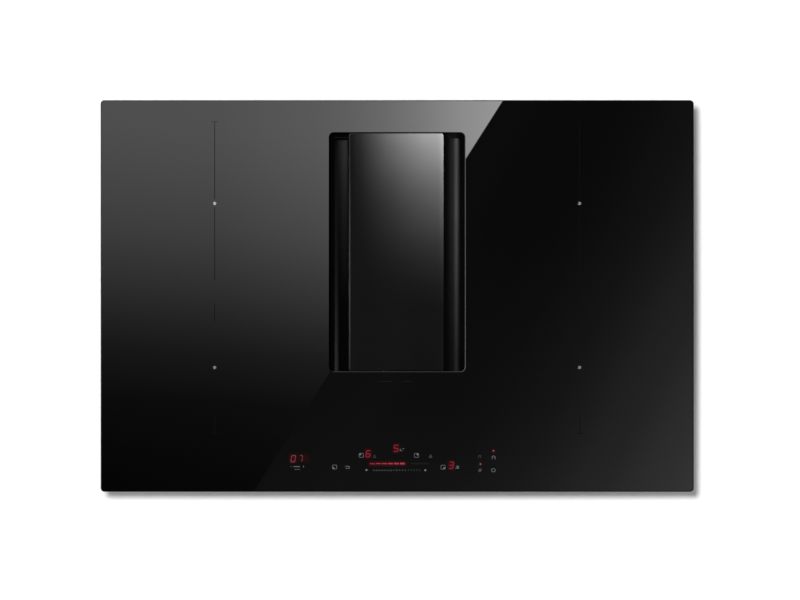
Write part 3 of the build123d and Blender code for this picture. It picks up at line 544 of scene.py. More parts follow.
# ------------------------------------------------------------------ making pieces
@dataclass
class Piece:
    """A mesh under construction, in millimetres, that becomes one object of the scene."""

    name: str
    finish: Finish
    slot: str
    body: str = "appliance"
    mesh: bmesh.types.BMesh = field(default_factory=bmesh.new)
    haze_corner: float = 0.5

    def box(self, low: Point, high: Point) -> None:
        """Adds a box between two corners.

        Args:
            low: The lowest corner.
            high: The highest corner.
        """
        centre = Matrix.Translation((Vector(high) + Vector(low)) / 2)
        size = Matrix.Diagonal((*(Vector(high) - Vector(low)), 1.0))
        bmesh.ops.create_cube(self.mesh, size=1.0, matrix=centre @ size)

    def row(self, axis: Axis, places: Iterable[float], half: float, first: Pair, second: Pair) -> None:
        """Adds a row of equal boxes.

        Args:
            axis: The way that the row runs.
            places: Where the boxes' centres are on it.
            half: Half a box's width along it.
            first: Their span on the first of the other two axes.
            second: Their span on the second.
        """
        for place in places:
            spans = [first, second]
            spans.insert(axis.value, (place - half, place + half))
            self.box(*zip(*spans))

    def stroke(self, start: Pair, end: Pair, width: float, z: Pair) -> None:
        """Adds a flat bar between two points of the plane.

        Args:
            start: Where its centre line begins.
            end: Where its centre line ends.
            width: Its width.
            z: Its lowest and highest level.
        """
        run = Vector(end) - Vector(start)
        middle = (Vector(end) + Vector(start)) / 2
        place = Matrix.Translation((*middle, (z[0] + z[1]) / 2))
        turn = Matrix.Rotation(math.atan2(run.y, run.x), 4, "Z")
        size = Matrix.Diagonal((run.length, width, z[1] - z[0], 1.0))
        bmesh.ops.create_cube(self.mesh, size=1.0, matrix=place @ turn @ size)

    def loop(self, points: Iterable[Pair], width: float, z: Pair) -> None:
        """Adds bars along a closed outline.

        Args:
            points: The outline's corners in order.
            width: The bars' width.
            z: Their lowest and highest level.
        """
        corners = list(points)
        for start, end in zip(corners, corners[1:] + corners[:1]):
            self.stroke(start, end, width, z)

    def stud(self, centre: Point, axis: Axis, radius: float, height: float, sides: int = 28) -> None:
        """Adds a short cylinder along an axis.

        Args:
            centre: Its centre.
            axis: The way that it points.
            radius: Its radius.
            height: Its height.
            sides: How many sides it has.
        """
        name, angle = {Axis.X: ("Y", 90.0), Axis.Y: ("X", 90.0), Axis.Z: ("Z", 0.0)}[axis]
        bmesh.ops.create_cone(
            self.mesh, cap_ends=True, segments=sides, radius1=radius, radius2=radius, depth=height,
            matrix=Matrix.Translation(centre) @ Matrix.Rotation(math.radians(angle), 4, name),
        )

    def disc(self, centre: Pair, radius: float, z: Pair, sides: int = 32) -> None:
        """Adds a flat round disc between two levels."""
        self.stud((*centre, (z[0] + z[1]) / 2), Axis.Z, radius, z[1] - z[0], sides)

    def plate(self, x: Pair, y: Pair, radius: float, z: float) -> bmesh.types.BMFace:
        """Adds a level face with round corners.

        Args:
            x: Its left and right.
            y: Its front and rear.
            radius: Its corners' radius.
            z: Its level.

        Returns:
            The face.
        """
        before = set(self.mesh.faces)
        place = Matrix.Translation(((x[0] + x[1]) / 2, (y[0] + y[1]) / 2, z))
        size = Matrix.Diagonal((x[1] - x[0], y[1] - y[0], 1.0, 1.0))
        grid = bmesh.ops.create_grid(self.mesh, x_segments=1, y_segments=1, size=0.5, matrix=place @ size)
        bmesh.ops.bevel(
            self.mesh, geom=grid["verts"], offset=radius, affect="VERTICES", segments=5, profile=0.5, material=-1
        )
        return next(face for face in self.mesh.faces if face not in before)

    def outline(self, x: Pair, y: Pair, radius: float, z: float) -> list[bmesh.types.BMEdge]:
        """Adds the bare edges of such a face.

        Args:
            x: Its left and right.
            y: Its front and rear.
            radius: Its corners' radius.
            z: Its level.

        Returns:
            Its edges.
        """
        face = self.plate(x, y, radius, z)
        edges = face.edges[:]
        bmesh.ops.delete(self.mesh, geom=[face], context="FACES_ONLY")
        return edges

    def join(self, outlines: list[list[bmesh.types.BMEdge]]) -> None:
        """Joins closed outlines with faces, each to the next."""
        for first, second in zip(outlines, outlines[1:]):
            bmesh.ops.bridge_loops(self.mesh, edges=first + second)

    def haze(self, low: Pair, high: Pair, reach: float, z: float, level: float = 1.0) -> None:
        """Adds a flat patch whose glow attribute fades to nothing over its rim.

        Args:
            low: The lit field's lowest corner.
            high: Its highest corner.
            reach: How far the glow spreads round it.
            z: The patch's height.
            level: Its glow inside the lit field.
        """
        glow = self.mesh.verts.layers.float.get("glow") or self.mesh.verts.layers.float.new("glow")
        inset = self.haze_corner
        x, y = ((low[i] - reach, high[i] + reach) for i in (0, 1))
        face = self.plate(x, y, reach + inset, z)
        for share, part in ((1.0, 0.0), (0.4, 0.45), (0.0, 1.0)):
            for vert in face.verts:
                core = Vector([min(max(vert.co[i], low[i] + inset), high[i] - inset) for i in (0, 1)] + [z])
                vert.co = core + (vert.co - core).normalized() * (reach * share + inset)
                vert[glow] = level * part
            if share:
                face = bmesh.ops.extrude_discrete_faces(self.mesh, faces=[face])["faces"][0]

    def finish_piece(self, soften: float = 0.0) -> None:
        """Turns the mesh into an object that rides on its body.

        Args:
            soften: Width of the bevel on its edges, or zero for none.
        """
        if soften:
            bmesh.ops.bevel(
                self.mesh, geom=self.mesh.edges[:], offset=soften, affect="EDGES", segments=2, profile=0.5,
                material=-1,
            )
        bmesh.ops.recalc_face_normals(self.mesh, faces=self.mesh.faces)
        bmesh.ops.scale(self.mesh, vec=(MM, MM, MM), verts=self.mesh.verts)
        made = add_mesh(self.name, self.mesh)
        made.data.materials.append(self.finish.build())
        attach(made, self.body)
        LOG.info("piece %s: %d faces", self.name, len(made.data.polygons))


# ------------------------------------------------------------------ sub-assemblies
# Underside and top of what is printed on the glass, in millimetres.
PRINT_LEVEL: Pair = (212.0, 212.05)


@dataclass
class SubAssembly:
    """CAD nodes that are dressed together, and the trim that goes on them."""

    finishes: ClassVar[dict[str, Finish]] = {}

    def dress(self) -> None:
        """Gives each CAD node its finish."""
        for name, finish in self.finishes.items():
            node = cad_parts[name]
            node.data.materials.clear()
            node.data.materials.append(finish.build())
            LOG.info("node %s: %s", name, finish.name)

    def build(self) -> None:
        """Adds nothing to a sub-assembly without trim."""


@dataclass
class GlassTop(SubAssembly):
    """The glass plate, its seal and frame, and the zone marks printed on it."""

    finishes: ClassVar[dict[str, Finish]] = {
        "glass_top": GLASS_CERAMIC, "worktop_seal": FOAM_RUBBER, "glass_frame": EXTRUDED_ALUMINIUM,
    }
    level: Pair = PRINT_LEVEL
    zone_x: float = 240.0
    zone_y: Pair = (121.7, -94.0)
    dot_radius: float = 2.1
    line_width: float = 0.8
    line_spans: tuple[Pair, ...] = ((127.3, 228.0), (20.5, 117.3), (-34.0, -10.5), (-180.5, -156.0))
    end_y: Pair = (229.0, -181.0)
    end_half: float = 4.0
    end_width: float = 0.7

    def build(self) -> None:
        """Prints the zone marks and zone lines."""
        dots = Piece("zone_dots", SILVER_LUSTRE, "black_glass")
        lines = Piece("zone_lines", DARK_INK, "black_glass")
        for x in (-self.zone_x, self.zone_x):
            for y in self.zone_y:
                dots.disc((x, y), self.dot_radius, self.level)
            for low, high in self.line_spans:
                lines.stroke((x, low), (x, high), self.line_width, self.level)
            for y in self.end_y:
                lines.stroke((x - self.end_half, y), (x + self.end_half, y), self.end_width, self.level)
        dots.finish_piece()
        lines.finish_piece()


@dataclass
class TouchControls(SubAssembly):
    """Lit digits, level bar, touch symbols and slider ticks at the front of the glass."""

    finishes: ClassVar[dict[str, Finish]] = {
        "touch_carrier": TRAY_ABS, "touch_board": CIRCUIT_BOARD, "displays": RED_DIODES, "ribbon_cable": RIBBON_PVC,
    }
    segments: ClassVar[dict[str, str]] = {"0": "abcdef", "3": "abcdg", "5": "acdfg", "6": "acdefg"}
    level: Pair = PRINT_LEVEL
    haze_z: float = 212.02
    digit_height: float = 8.3
    digit_width: float = 5.2
    digit_gap: float = 0.35
    slant: float = 0.16
    bar_y: float = -220.4
    slider_y: float = -228.9

    def digit(self, piece: Piece, value: str, centre: Pair, width: float) -> None:
        """Adds one slanted seven-segment digit.

        Args:
            piece: The piece it goes into.
            value: The digit.
            centre: Its centre.
            width: Width of its segments.
        """
        w, h = self.digit_width / 2, self.digit_height / 2
        ends = {
            "a": ((-w, h), (w, h)), "b": ((w, h), (w, 0)), "c": ((w, 0), (w, -h)), "d": ((w, -h), (-w, -h)),
            "e": ((-w, -h), (-w, 0)), "f": ((-w, 0), (-w, h)), "g": ((-w, 0), (w, 0)),
        }
        for letter in self.segments[value]:
            start, end = (Vector(p) for p in ends[letter])
            step = (end - start).normalized() * self.digit_gap
            first, last = ((centre[0] + p.x + self.slant * p.y, centre[1] + p.y) for p in (start + step, end - step))
            piece.stroke(first, last, width, self.level)

    def zone_key(self, piece: Piece, centre: Pair, corner: tuple[int, int]) -> None:
        """Adds a small frame with one corner filled, which says the zone that it picks.

        Args:
            piece: The piece it goes into.
            centre: Its centre.
            corner: The filled corner's side of the centre, across and along.
        """
        (x, y), (w, h), r = centre, (2.8, 2.6), 0.7
        outline = [
            (x - w + r, y - h), (x + w - r, y - h), (x + w, y - h + r), (x + w, y + h - r),
            (x + w - r, y + h), (x - w + r, y + h), (x - w, y + h - r), (x - w, y - h + r),
        ]
        piece.loop(outline, 0.5, self.level)
        piece.disc((x + corner[0] * 1.5, y + corner[1] * 1.3), 1.25, self.level, 16)

    def peak(self, piece: Piece, centre: Pair, half: float) -> None:
        """Adds a small open triangle.

        Args:
            piece: The piece it goes into.
            centre: Its centre.
            half: Half its width.
        """
        x, y = centre
        piece.loop([(x - half, y - half), (x + half, y - half), (x, y + half)], 0.5, self.level)

    def strokes(self, piece: Piece, centre: Pair, width: float, *lines: tuple[float, ...]) -> None:
        """Adds straight strokes about a centre.

        Args:
            piece: The piece it goes into.
            centre: The centre.
            width: The strokes' width.
            *lines: Start and end of each stroke, off the centre.
        """
        x, y = centre
        for x0, y0, x1, y1 in lines:
            piece.stroke((x + x0, y + y0), (x + x1, y + y1), width, self.level)

    def lit(self) -> None:
        """Makes the digits, the level bar, the indicator lamps and the haze round them."""
        digits = Piece("lit_digits", RED_DIODES, "display_red")
        haze = Piece("display_haze", RED_HAZE, "black_glass")
        z = self.haze_z
        for value, (x, y) in {"6": (-38.2, -207.6), "5": (-1.4, -200.3), "3": (71.2, -222.7)}.items():
            self.digit(digits, value, (x, y), 1.15)
            haze.haze((x - 3.0, y - 4.4), (x + 3.0, y + 4.4), 3.4, z, 1.2)
        digits.finish_piece()

        bar = Piece("level_bar", BAR_DIODES, "display_red")
        for step in range(6):
            x, drop = -35.6 + 7.85 * step, 0.1 if step else 0.5
            bar.stroke((x, self.bar_y), (x + 6.2, self.bar_y - drop), 0.75 + 0.3 * step, self.level)
        bar.finish_piece()
        haze.haze((-35.5, self.bar_y - 1.2), (10.5, self.bar_y + 0.8), 3.2, z, 2.2)

        timer = Piece("timer_digits", DIM_DIODES, "display_red")
        self.digit(timer, "0", (-136.6, -214.0), 1.05)
        self.strokes(timer, (-126.0, -213.8), 0.85, (-1.4, 4.1, 1.2, 4.1), (1.5, 3.8, 1.2, 0.4), (1.2, -0.4, 0.6, -3.6))
        timer.finish_piece()
        haze.haze((-139.4, -218.2), (-134.0, -209.9), 3.6, z, 1.3)
        haze.haze((-130.0, -216.0), (-119.0, -211.0), 5.5, z - 0.01, 0.5)

        lamps = Piece("indicator_lamps", PALE_DIODES, "display_red")
        for x, y in ((109.5, -221.0), (126.6, -203.6)):
            lamps.disc((x, y), 0.85, self.level, 20)
            haze.haze((x - 1.0, y - 1.6), (x + 1.2, y + 1.2), 2.4, z, 1.5)
        lamps.finish_piece()
        haze.finish_piece()

    def symbols(self) -> None:
        """Prints the touch keys."""
        keys = Piece("touch_symbols", GREY_INK, "black_glass")
        for centre, corner in {
            (-82.3, -225.0): (-1, -1), (-47.2, -209.6): (-1, 1), (25.4, -209.6): (1, 1), (60.4, -225.2): (1, -1),
        }.items():
            self.zone_key(keys, centre, corner)
        self.strokes(keys, (-132.0, -224.4), 0.8, (-4.3, 0.0, 4.2, 0.0))
        self.strokes(keys, (-123.2, -224.4), 0.8, (0.0, -1.1, 0.0, 1.1), (-0.6, 0.8, 0.6, 0.8))
        self.strokes(keys, (6.6, -202.4), 0.6, (-2.6, 1.6, -2.6, -1.4), (-2.4, 0.0, 0.0, -1.6), (0.2, 1.4, 2.8, 1.4))
        self.strokes(keys, (-65.2, -225.4), 0.6, (-3.2, 1.4, 2.2, 1.4), (2.3, 1.4, 2.3, -1.3), (2.2, -1.3, -2.6, -1.3))
        self.strokes(
            keys, (79.0, -225.2), 0.7, (-1.5, 1.4, 1.8, 1.4), (1.8, 1.4, 1.8, -1.6), (1.8, -1.6, -2.2, -1.4),
            (-0.6, 0.2, 1.6, -1.0),
        )
        self.strokes(
            keys, (126.9, -212.6), 0.6, (-2.0, 2.0, 1.0, 2.2), (1.0, 2.2, 2.0, 0.8), (2.0, 0.8, 1.8, -2.2),
            (-2.0, 2.0, -2.0, -2.2), (0.0, 0.8, 1.6, 0.0),
        )
        for centre in ((-40.3, -228.9), (37.0, -229.1)):
            keys.disc(centre, 1.3, self.level, 20)
        corners = [(124.4, -231.2), (128.4, -231.2), (129.2, -229.3), (128.4, -227.2), (124.4, -227.2)]
        keys.loop(corners, 0.6, self.level)
        keys.finish_piece()

    def scale(self) -> None:
        """Prints the slider's scale, the dimmer symbols and the unlit fields."""
        dim = Piece("slider_scale", DIM_INK, "black_glass")
        self.strokes(dim, (-139.6, -224.4), 0.7, (-1.1, 0.0, 1.1, 0.0))
        self.strokes(dim, (-131.5, -228.1), 0.9, (-3.6, 0.0, 3.7, 0.0))
        self.strokes(dim, (108.6, -211.2), 0.6, (-1.7, 1.3, 1.7, 1.3), (-1.3, 1.3, -1.3, -1.6), (1.3, 1.3, 1.3, -1.6))
        self.strokes(dim, (108.9, -229.2), 1.1, (-1.7, -1.9, 1.7, 1.9), (-0.3, -2.2, 2.1, 0.6), (-2.1, -0.6, 0.3, 2.2))
        for centre, half in (((-29.8, -210.6), 1.9), ((44.0, -210.4), 2.1), ((43.8, -210.9), 1.0)):
            self.peak(dim, centre, half)
        dim.stroke((-32.0, -229.6), (-7.0, -229.8), 0.55, self.level)
        dim.stroke((-7.0, -229.2), (12.0, -229.2), 0.35, self.level)
        for tick in range(17):
            x, tall = -31.0 + 3.8 * tick, 1.7 if tick in (6, 8) else 1.2
            dim.stroke((x, self.slider_y - tall), (x, self.slider_y + tall), 0.5, self.level)
        dim.finish_piece()

        unlit = Piece("unlit_fields", FAINT_INK, "black_glass")
        unlit.stroke((17.8, self.bar_y), (42.0, self.bar_y), 2.0, self.level)
        for start, end in ((-24.0, -6.6), (6.8, 19.8)):
            unlit.stroke((start, -112.4), (end, -112.4), 0.8, self.level)
        unlit.finish_piece()

    def build(self) -> None:
        """Lays out the whole control strip."""
        self.lit()
        self.symbols()
        self.scale()


@dataclass
class Intake(SubAssembly):
    """The opening's ground edge, the collar and basin below it, and the tilting flap."""

    # The collar, the flap's cradles and its carrier wear black ABS whose tone is darkened as painted shade.
    finishes: ClassVar[dict[str, Finish]] = {
        "intake_collar": BLACK_ABS_PAINTED_SHADE, "intake_basin": BASIN_PP, "flap_rod": GROUND_STEEL, "flap_cradles": BLACK_ABS_PAINTED_SHADE,
        "flap_carrier": BLACK_ABS_PAINTED_SHADE, "flap_glass": SATIN_GLASS,
    }
    half_width: float = 89.2
    front: float = -99.3
    rear: float = 214.7
    chamfer: float = 0.8
    chamfer_z: Pair = (211.22, 212.02)
    corner: float = 6.0
    lip_low: Point = (-81.5, 207.55, 159.9)
    lip_high: Point = (-63.5, 208.6, 160.6)
    lip_edge: float = 0.25

    def build(self) -> None:
        """Lays the ground edge over the opening's chamfer, and a lip on the collar's rear ledge."""
        edge = Piece("opening_ground_edge", GROUND_EDGE, "black_glass")
        outlines = []
        for grow, z in zip((0.0, self.chamfer), self.chamfer_z):
            x, y = self.half_width + grow, (self.front - grow, self.rear + grow)
            outlines.append(edge.outline((-x, x), y, self.corner + grow, z))
        edge.join(outlines)
        edge.finish_piece()
        lip = Piece("rear_ledge_lip", BASIN_PP, "collar_plastic")
        lip.box(self.lip_low, self.lip_high)
        lip.finish_piece(self.lip_edge)


@dataclass
class Filters(SubAssembly):
    """Grease filter, odour filters and drip tray."""

    finishes: ClassVar[dict[str, Finish]] = {
        "grease_filter_frame": FILTER_ALUMINIUM, "grease_filter_mesh": FILTER_ALUMINIUM,
        "grease_filter_handle": BLACK_ABS_PAINTED_SHADE, "odour_cassette_front": BLACK_ABS_PAINTED_SHADE, "odour_block_front": CARBON,
        "odour_cassette_rear": BLACK_ABS_PAINTED_SHADE, "odour_block_rear": CARBON, "drip_tray": TRAY_STEEL,
    }


@dataclass
class HobCasing(SubAssembly):
    """Galvanised casing with its clips, screws and pressed beads."""

    finishes: ClassVar[dict[str, Finish]] = {
        "hob_casing": GALVANISED_STEEL, "spring_clips": SPRING_STEEL, "housing_screws": SCREW_ZINC,
    }
    bead_half: float = 4.0
    bead_z: Pair = (148.9, 150.4)
    tab_x: Pair = (372.8, 373.9)
    tab_y: float = 229.0
    tab_half: float = 11.0
    tab_z: Pair = (153.0, 198.0)
    spots: tuple[float, ...] = (160.0, 175.0, 190.0)
    spot_radius: float = 2.4
    spot_height: float = 0.8

    def build(self) -> None:
        """Presses beads into the floor and folds the spot-welded corner tabs over."""
        beads = Piece("casing_beads", GALVANISED_STEEL, "galvanised_steel")
        beads.row(Axis.Y, (-95.0, -45.0, 5.0, 55.0), self.bead_half, (-352.0, -124.0), self.bead_z)
        beads.row(Axis.Y, (-220.0,), self.bead_half, (-350.0, 350.0), self.bead_z)
        beads.finish_piece(0.6)
        tabs = Piece("casing_corner_tabs", GALVANISED_STEEL, "galvanised_steel")
        for side in (-1, 1):
            inner, outer = (side * x for x in self.tab_x)
            ends = (-self.tab_y, self.tab_y)
            tabs.row(Axis.Y, ends, self.tab_half, (min(inner, outer), max(inner, outer)), self.tab_z)
            for y in ends:
                for z in self.spots:
                    tabs.stud((outer, y, z), Axis.X, self.spot_radius, self.spot_height)
        tabs.finish_piece(0.25)


@dataclass
class Electronics(SubAssembly):
    """Coils, boards and cooling fans inside the casing."""

    finishes: ClassVar[dict[str, Finish]] = {
        "coil_windings": LITZ_COPPER, "coil_plates": MILL_ALUMINIUM, "ferrite_bars": FERRITE, "mica_sheets": MICA,
        "zone_sensors": SENSOR_NYLON, "coil_rails": MILL_ALUMINIUM, "board_trays": TRAY_ABS,
        "power_board_left": CIRCUIT_BOARD, "power_board_right": CIRCUIT_BOARD, "heatsinks": HEAT_SINK,
        "board_capacitors": CAPACITOR_SLEEVE, "board_chokes": LITZ_COPPER, "cooling_fan_frames": FAN_PBT,
        "cooling_fan_rotor_left": FAN_PBT, "cooling_fan_rotor_right": FAN_PBT,
    }


@dataclass
class Extractor(SubAssembly):
    """Well housing, blower, damper, outlet and the two wiring boxes."""

    finishes: ClassVar[dict[str, Finish]] = {
        "well_housing": HOUSING_PP, "duct_seals": FOAM_RUBBER, "blower_base": HOUSING_PP,
        "blower_cover": HOUSING_PP, "scroll_body": SCROLL_ABS, "scroll_lid": SCROLL_ABS,
        "impeller": WHEEL_PA, "motor_shaft": GROUND_STEEL, "blower_motor": MOTOR_STEEL,
        "motor_bushes": FOAM_RUBBER, "damper_frame": SCROLL_ABS, "damper_flap_upper": WHEEL_PA,
        "damper_flap_lower": WHEEL_PA, "outlet_spigot": SCROLL_ABS, "terminal_box": TRAY_ABS,
        "box_lids": TRAY_ABS, "terminal_block": SENSOR_NYLON, "cable_gland": GLAND_PA,
        "fan_control_box": TRAY_ABS, "fan_control_board": CIRCUIT_BOARD,
    }
    rib_half: float = 0.8
    rib_edge: float = 0.3
    trim_edge: float = 0.5
    well_side: Pair = (-108.2, -105.9)
    well_ends: tuple[Pair, Pair] = ((-114.2, -111.9), (226.9, 229.2))
    well_z: Pair = (5.0, 93.0)
    blower_side: Pair = (367.9, 370.2)
    blower_front: Pair = (-120.2, -117.9)
    upper_shell: Pair = (75.0, 141.0)
    rim_x: Pair = (-105.5, 105.9)
    rim_y: Pair = (-111.5, 226.5)
    rim_corner: float = 7.6
    rim_profile: tuple[Pair, ...] = ((0.0, 92.6), (2.4, 92.8), (2.9, 93.4), (2.9, 98.8), (2.4, 99.4), (0.0, 99.6))
    flange_z: float = 72.0
    flange_half: float = 2.5
    flange_spans: tuple[tuple[Pair, Pair], ...] = (
        ((367.9, 370.8), (-109.0, 227.0)), ((118.0, 158.0), (-120.6, -117.9)), ((332.0, 359.0), (-120.6, -117.9)),
        ((117.0, 125.5), (235.9, 238.4)),
    )
    latch_y: Point = (-78.0, 26.0, 156.0)
    latch_edge: float = 1.0
    spigot_end: Pair = (254.4, 256.8)
    spigot_x: Pair = (136.0, 358.0)
    spigot_z: Pair = (27.75, 116.75)
    lip_half: float = 1.2
    lip_edge: float = 0.4
    screw_x: Point = (131.5, 247.0, 362.5)
    screw_y: float = 239.8
    screw_z: Pair = (23.0, 121.5)
    screw_radius: float = 3.4
    screw_height: float = 1.8
    louvre_half: float = 2.2
    louvre_wall: Pair = (-177.3, -175.9)
    louvre_z: Pair = (72.0, 102.0)
    lid_z: Pair = (104.9, 106.2)
    snap_y: Pair = (135.0, 200.0)
    snap_half: float = 7.0
    snap_z: Pair = (105.0, 122.0)

    def well_trim(self) -> None:
        """Moulded ribs and a rim round the outside of the well housing."""
        ribs = Piece("well_ribs", HOUSING_PP, "housing_plastic")
        for wall in self.well_ends:
            ribs.row(Axis.X, range(-90, 91, 30), self.rib_half, wall, self.well_z)
        ribs.row(Axis.Y, range(-92, 209, 30), self.rib_half, self.well_side, self.well_z)
        ribs.finish_piece(self.rib_edge)
        rim = Piece("well_rim", HOUSING_PP, "housing_plastic")
        rim.join([
            rim.outline(
                (self.rim_x[0] - grow, self.rim_x[1]), (self.rim_y[0] - grow, self.rim_y[1] + grow),
                self.rim_corner + grow, z,
            )
            for grow, z in self.rim_profile
        ])
        rim.finish_piece()

    def blower_trim(self) -> None:
        """Ribs, the joint flange and the latches on the blower's two shells."""
        ribs = Piece("blower_ribs", HOUSING_PP, "housing_plastic")
        for z in ((4.0, 69.0), self.upper_shell):
            ribs.row(Axis.Y, range(-104, 223, 26), self.rib_half, self.blower_side, z)
        for places, z in (
            (range(124, 359, 26), (4.0, 56.0)),
            ((124, 150, 358), self.upper_shell),
            (range(176, 333, 26), (115.5, self.upper_shell[1])),
        ):
            ribs.row(Axis.X, places, self.rib_half, self.blower_front, z)
        ribs.finish_piece(self.rib_edge)
        flange = Piece("blower_flange", HOUSING_PP, "housing_plastic")
        for x, y in self.flange_spans:
            flange.row(Axis.Z, (self.flange_z,), self.flange_half, x, y)
        flange.finish_piece(self.trim_edge)
        latches = Piece("blower_latches", SCROLL_ABS, "scroll_plastic")
        for half, x, z in ((8.0, (368.0, 373.4), (58.0, 86.0)), (5.0, (373.0, 375.0), (78.0, 83.0))):
            latches.row(Axis.Y, self.latch_y, half, x, z)
        latches.finish_piece(self.latch_edge)

    def outlet_trim(self) -> None:
        """The lip at the duct's end and the screws of its flange."""
        lip = Piece("spigot_lip", SCROLL_ABS, "scroll_plastic")
        lip.row(Axis.Z, self.spigot_z, self.lip_half, (134.8, 359.2), self.spigot_end)
        lip.row(Axis.X, self.spigot_x, self.lip_half, self.spigot_end, (26.6, 117.9))
        lip.finish_piece(self.lip_edge)
        screws = Piece("spigot_screws", SCREW_ZINC, "screw_zinc")
        for x in self.screw_x:
            for z in self.screw_z:
                screws.stud((x, self.screw_y, z), Axis.Y, self.screw_radius, self.screw_height)
        screws.finish_piece(self.trim_edge)

    def box_trim(self) -> None:
        """Louvres, lid frames and snap tabs on the two wiring boxes."""
        louvres = Piece("control_box_louvres", TRAY_ABS, "tray_plastic")
        louvres.row(Axis.X, range(174, 317, 12), self.louvre_half, self.louvre_wall, self.louvre_z)
        louvres.finish_piece(self.trim_edge)
        tabs = Piece("lid_tabs", TRAY_ABS, "tray_plastic")
        for x in ((-331.6, -329.9), (-170.1, -168.4)):
            tabs.row(Axis.Y, self.snap_y, self.snap_half, x, self.snap_z)
        tabs.row(Axis.X, (159.2, 330.8), 0.9, (-154.0, -142.0), (59.5, 76.0))
        tabs.row(Axis.Y, (119.5, 222.5), 1.5, (-322.0, -178.0), self.lid_z)
        tabs.row(Axis.X, (-320.5, -179.5), 1.5, (118.0, 224.0), self.lid_z)
        tabs.finish_piece(self.trim_edge)

    def build(self) -> None:
        """Adds what the mould tools leave on the outside of the housings."""
        self.well_trim()
        self.blower_trim()
        self.outlet_trim()
        self.box_trim()


# ------------------------------------------------------------------ studio
class Seen(Enum):
    """Which rays meet a studio card."""

    BY_GLOSS = "gloss"
    BY_ALL = "all"


@dataclass(frozen=True)
class Glow:
    """The nodes that set how strongly a card or a lamp shines from place to place."""

    tree: Tree
    emission: bpy.types.Node

    def fade(self, source: Socket, stops: Stops) -> Socket:
        """Turns a coordinate into a level by a ramp.

        Args:
            source: The coordinate.
            stops: Pairs of coordinate and level, in order.

        Returns:
            The level's socket.
        """
        low, high = stops[0][0], stops[-1][0]
        span = add_node(self.tree, "ShaderNodeMapRange", {"From Min": low, "From Max": high}, {"Value": source})
        ramp = add_node(self.tree, "ShaderNodeValToRGB", None, {"Fac": span.outputs["Result"]})
        ramp.color_ramp.interpolation = "LINEAR"
        elements = ramp.color_ramp.elements
        while len(elements) < len(stops):
            elements.new(0.5)
        for element, (place, level) in zip(elements, stops):
            element.position = (place - low) / (high - low)
            element.color = (level, level, level, 1.0)
        return ramp.outputs["Color"]

    def shine(self, level: Socket) -> None:
        """Feeds the light's strength."""
        self.tree.links.new(level, self.emission.inputs["Strength"])


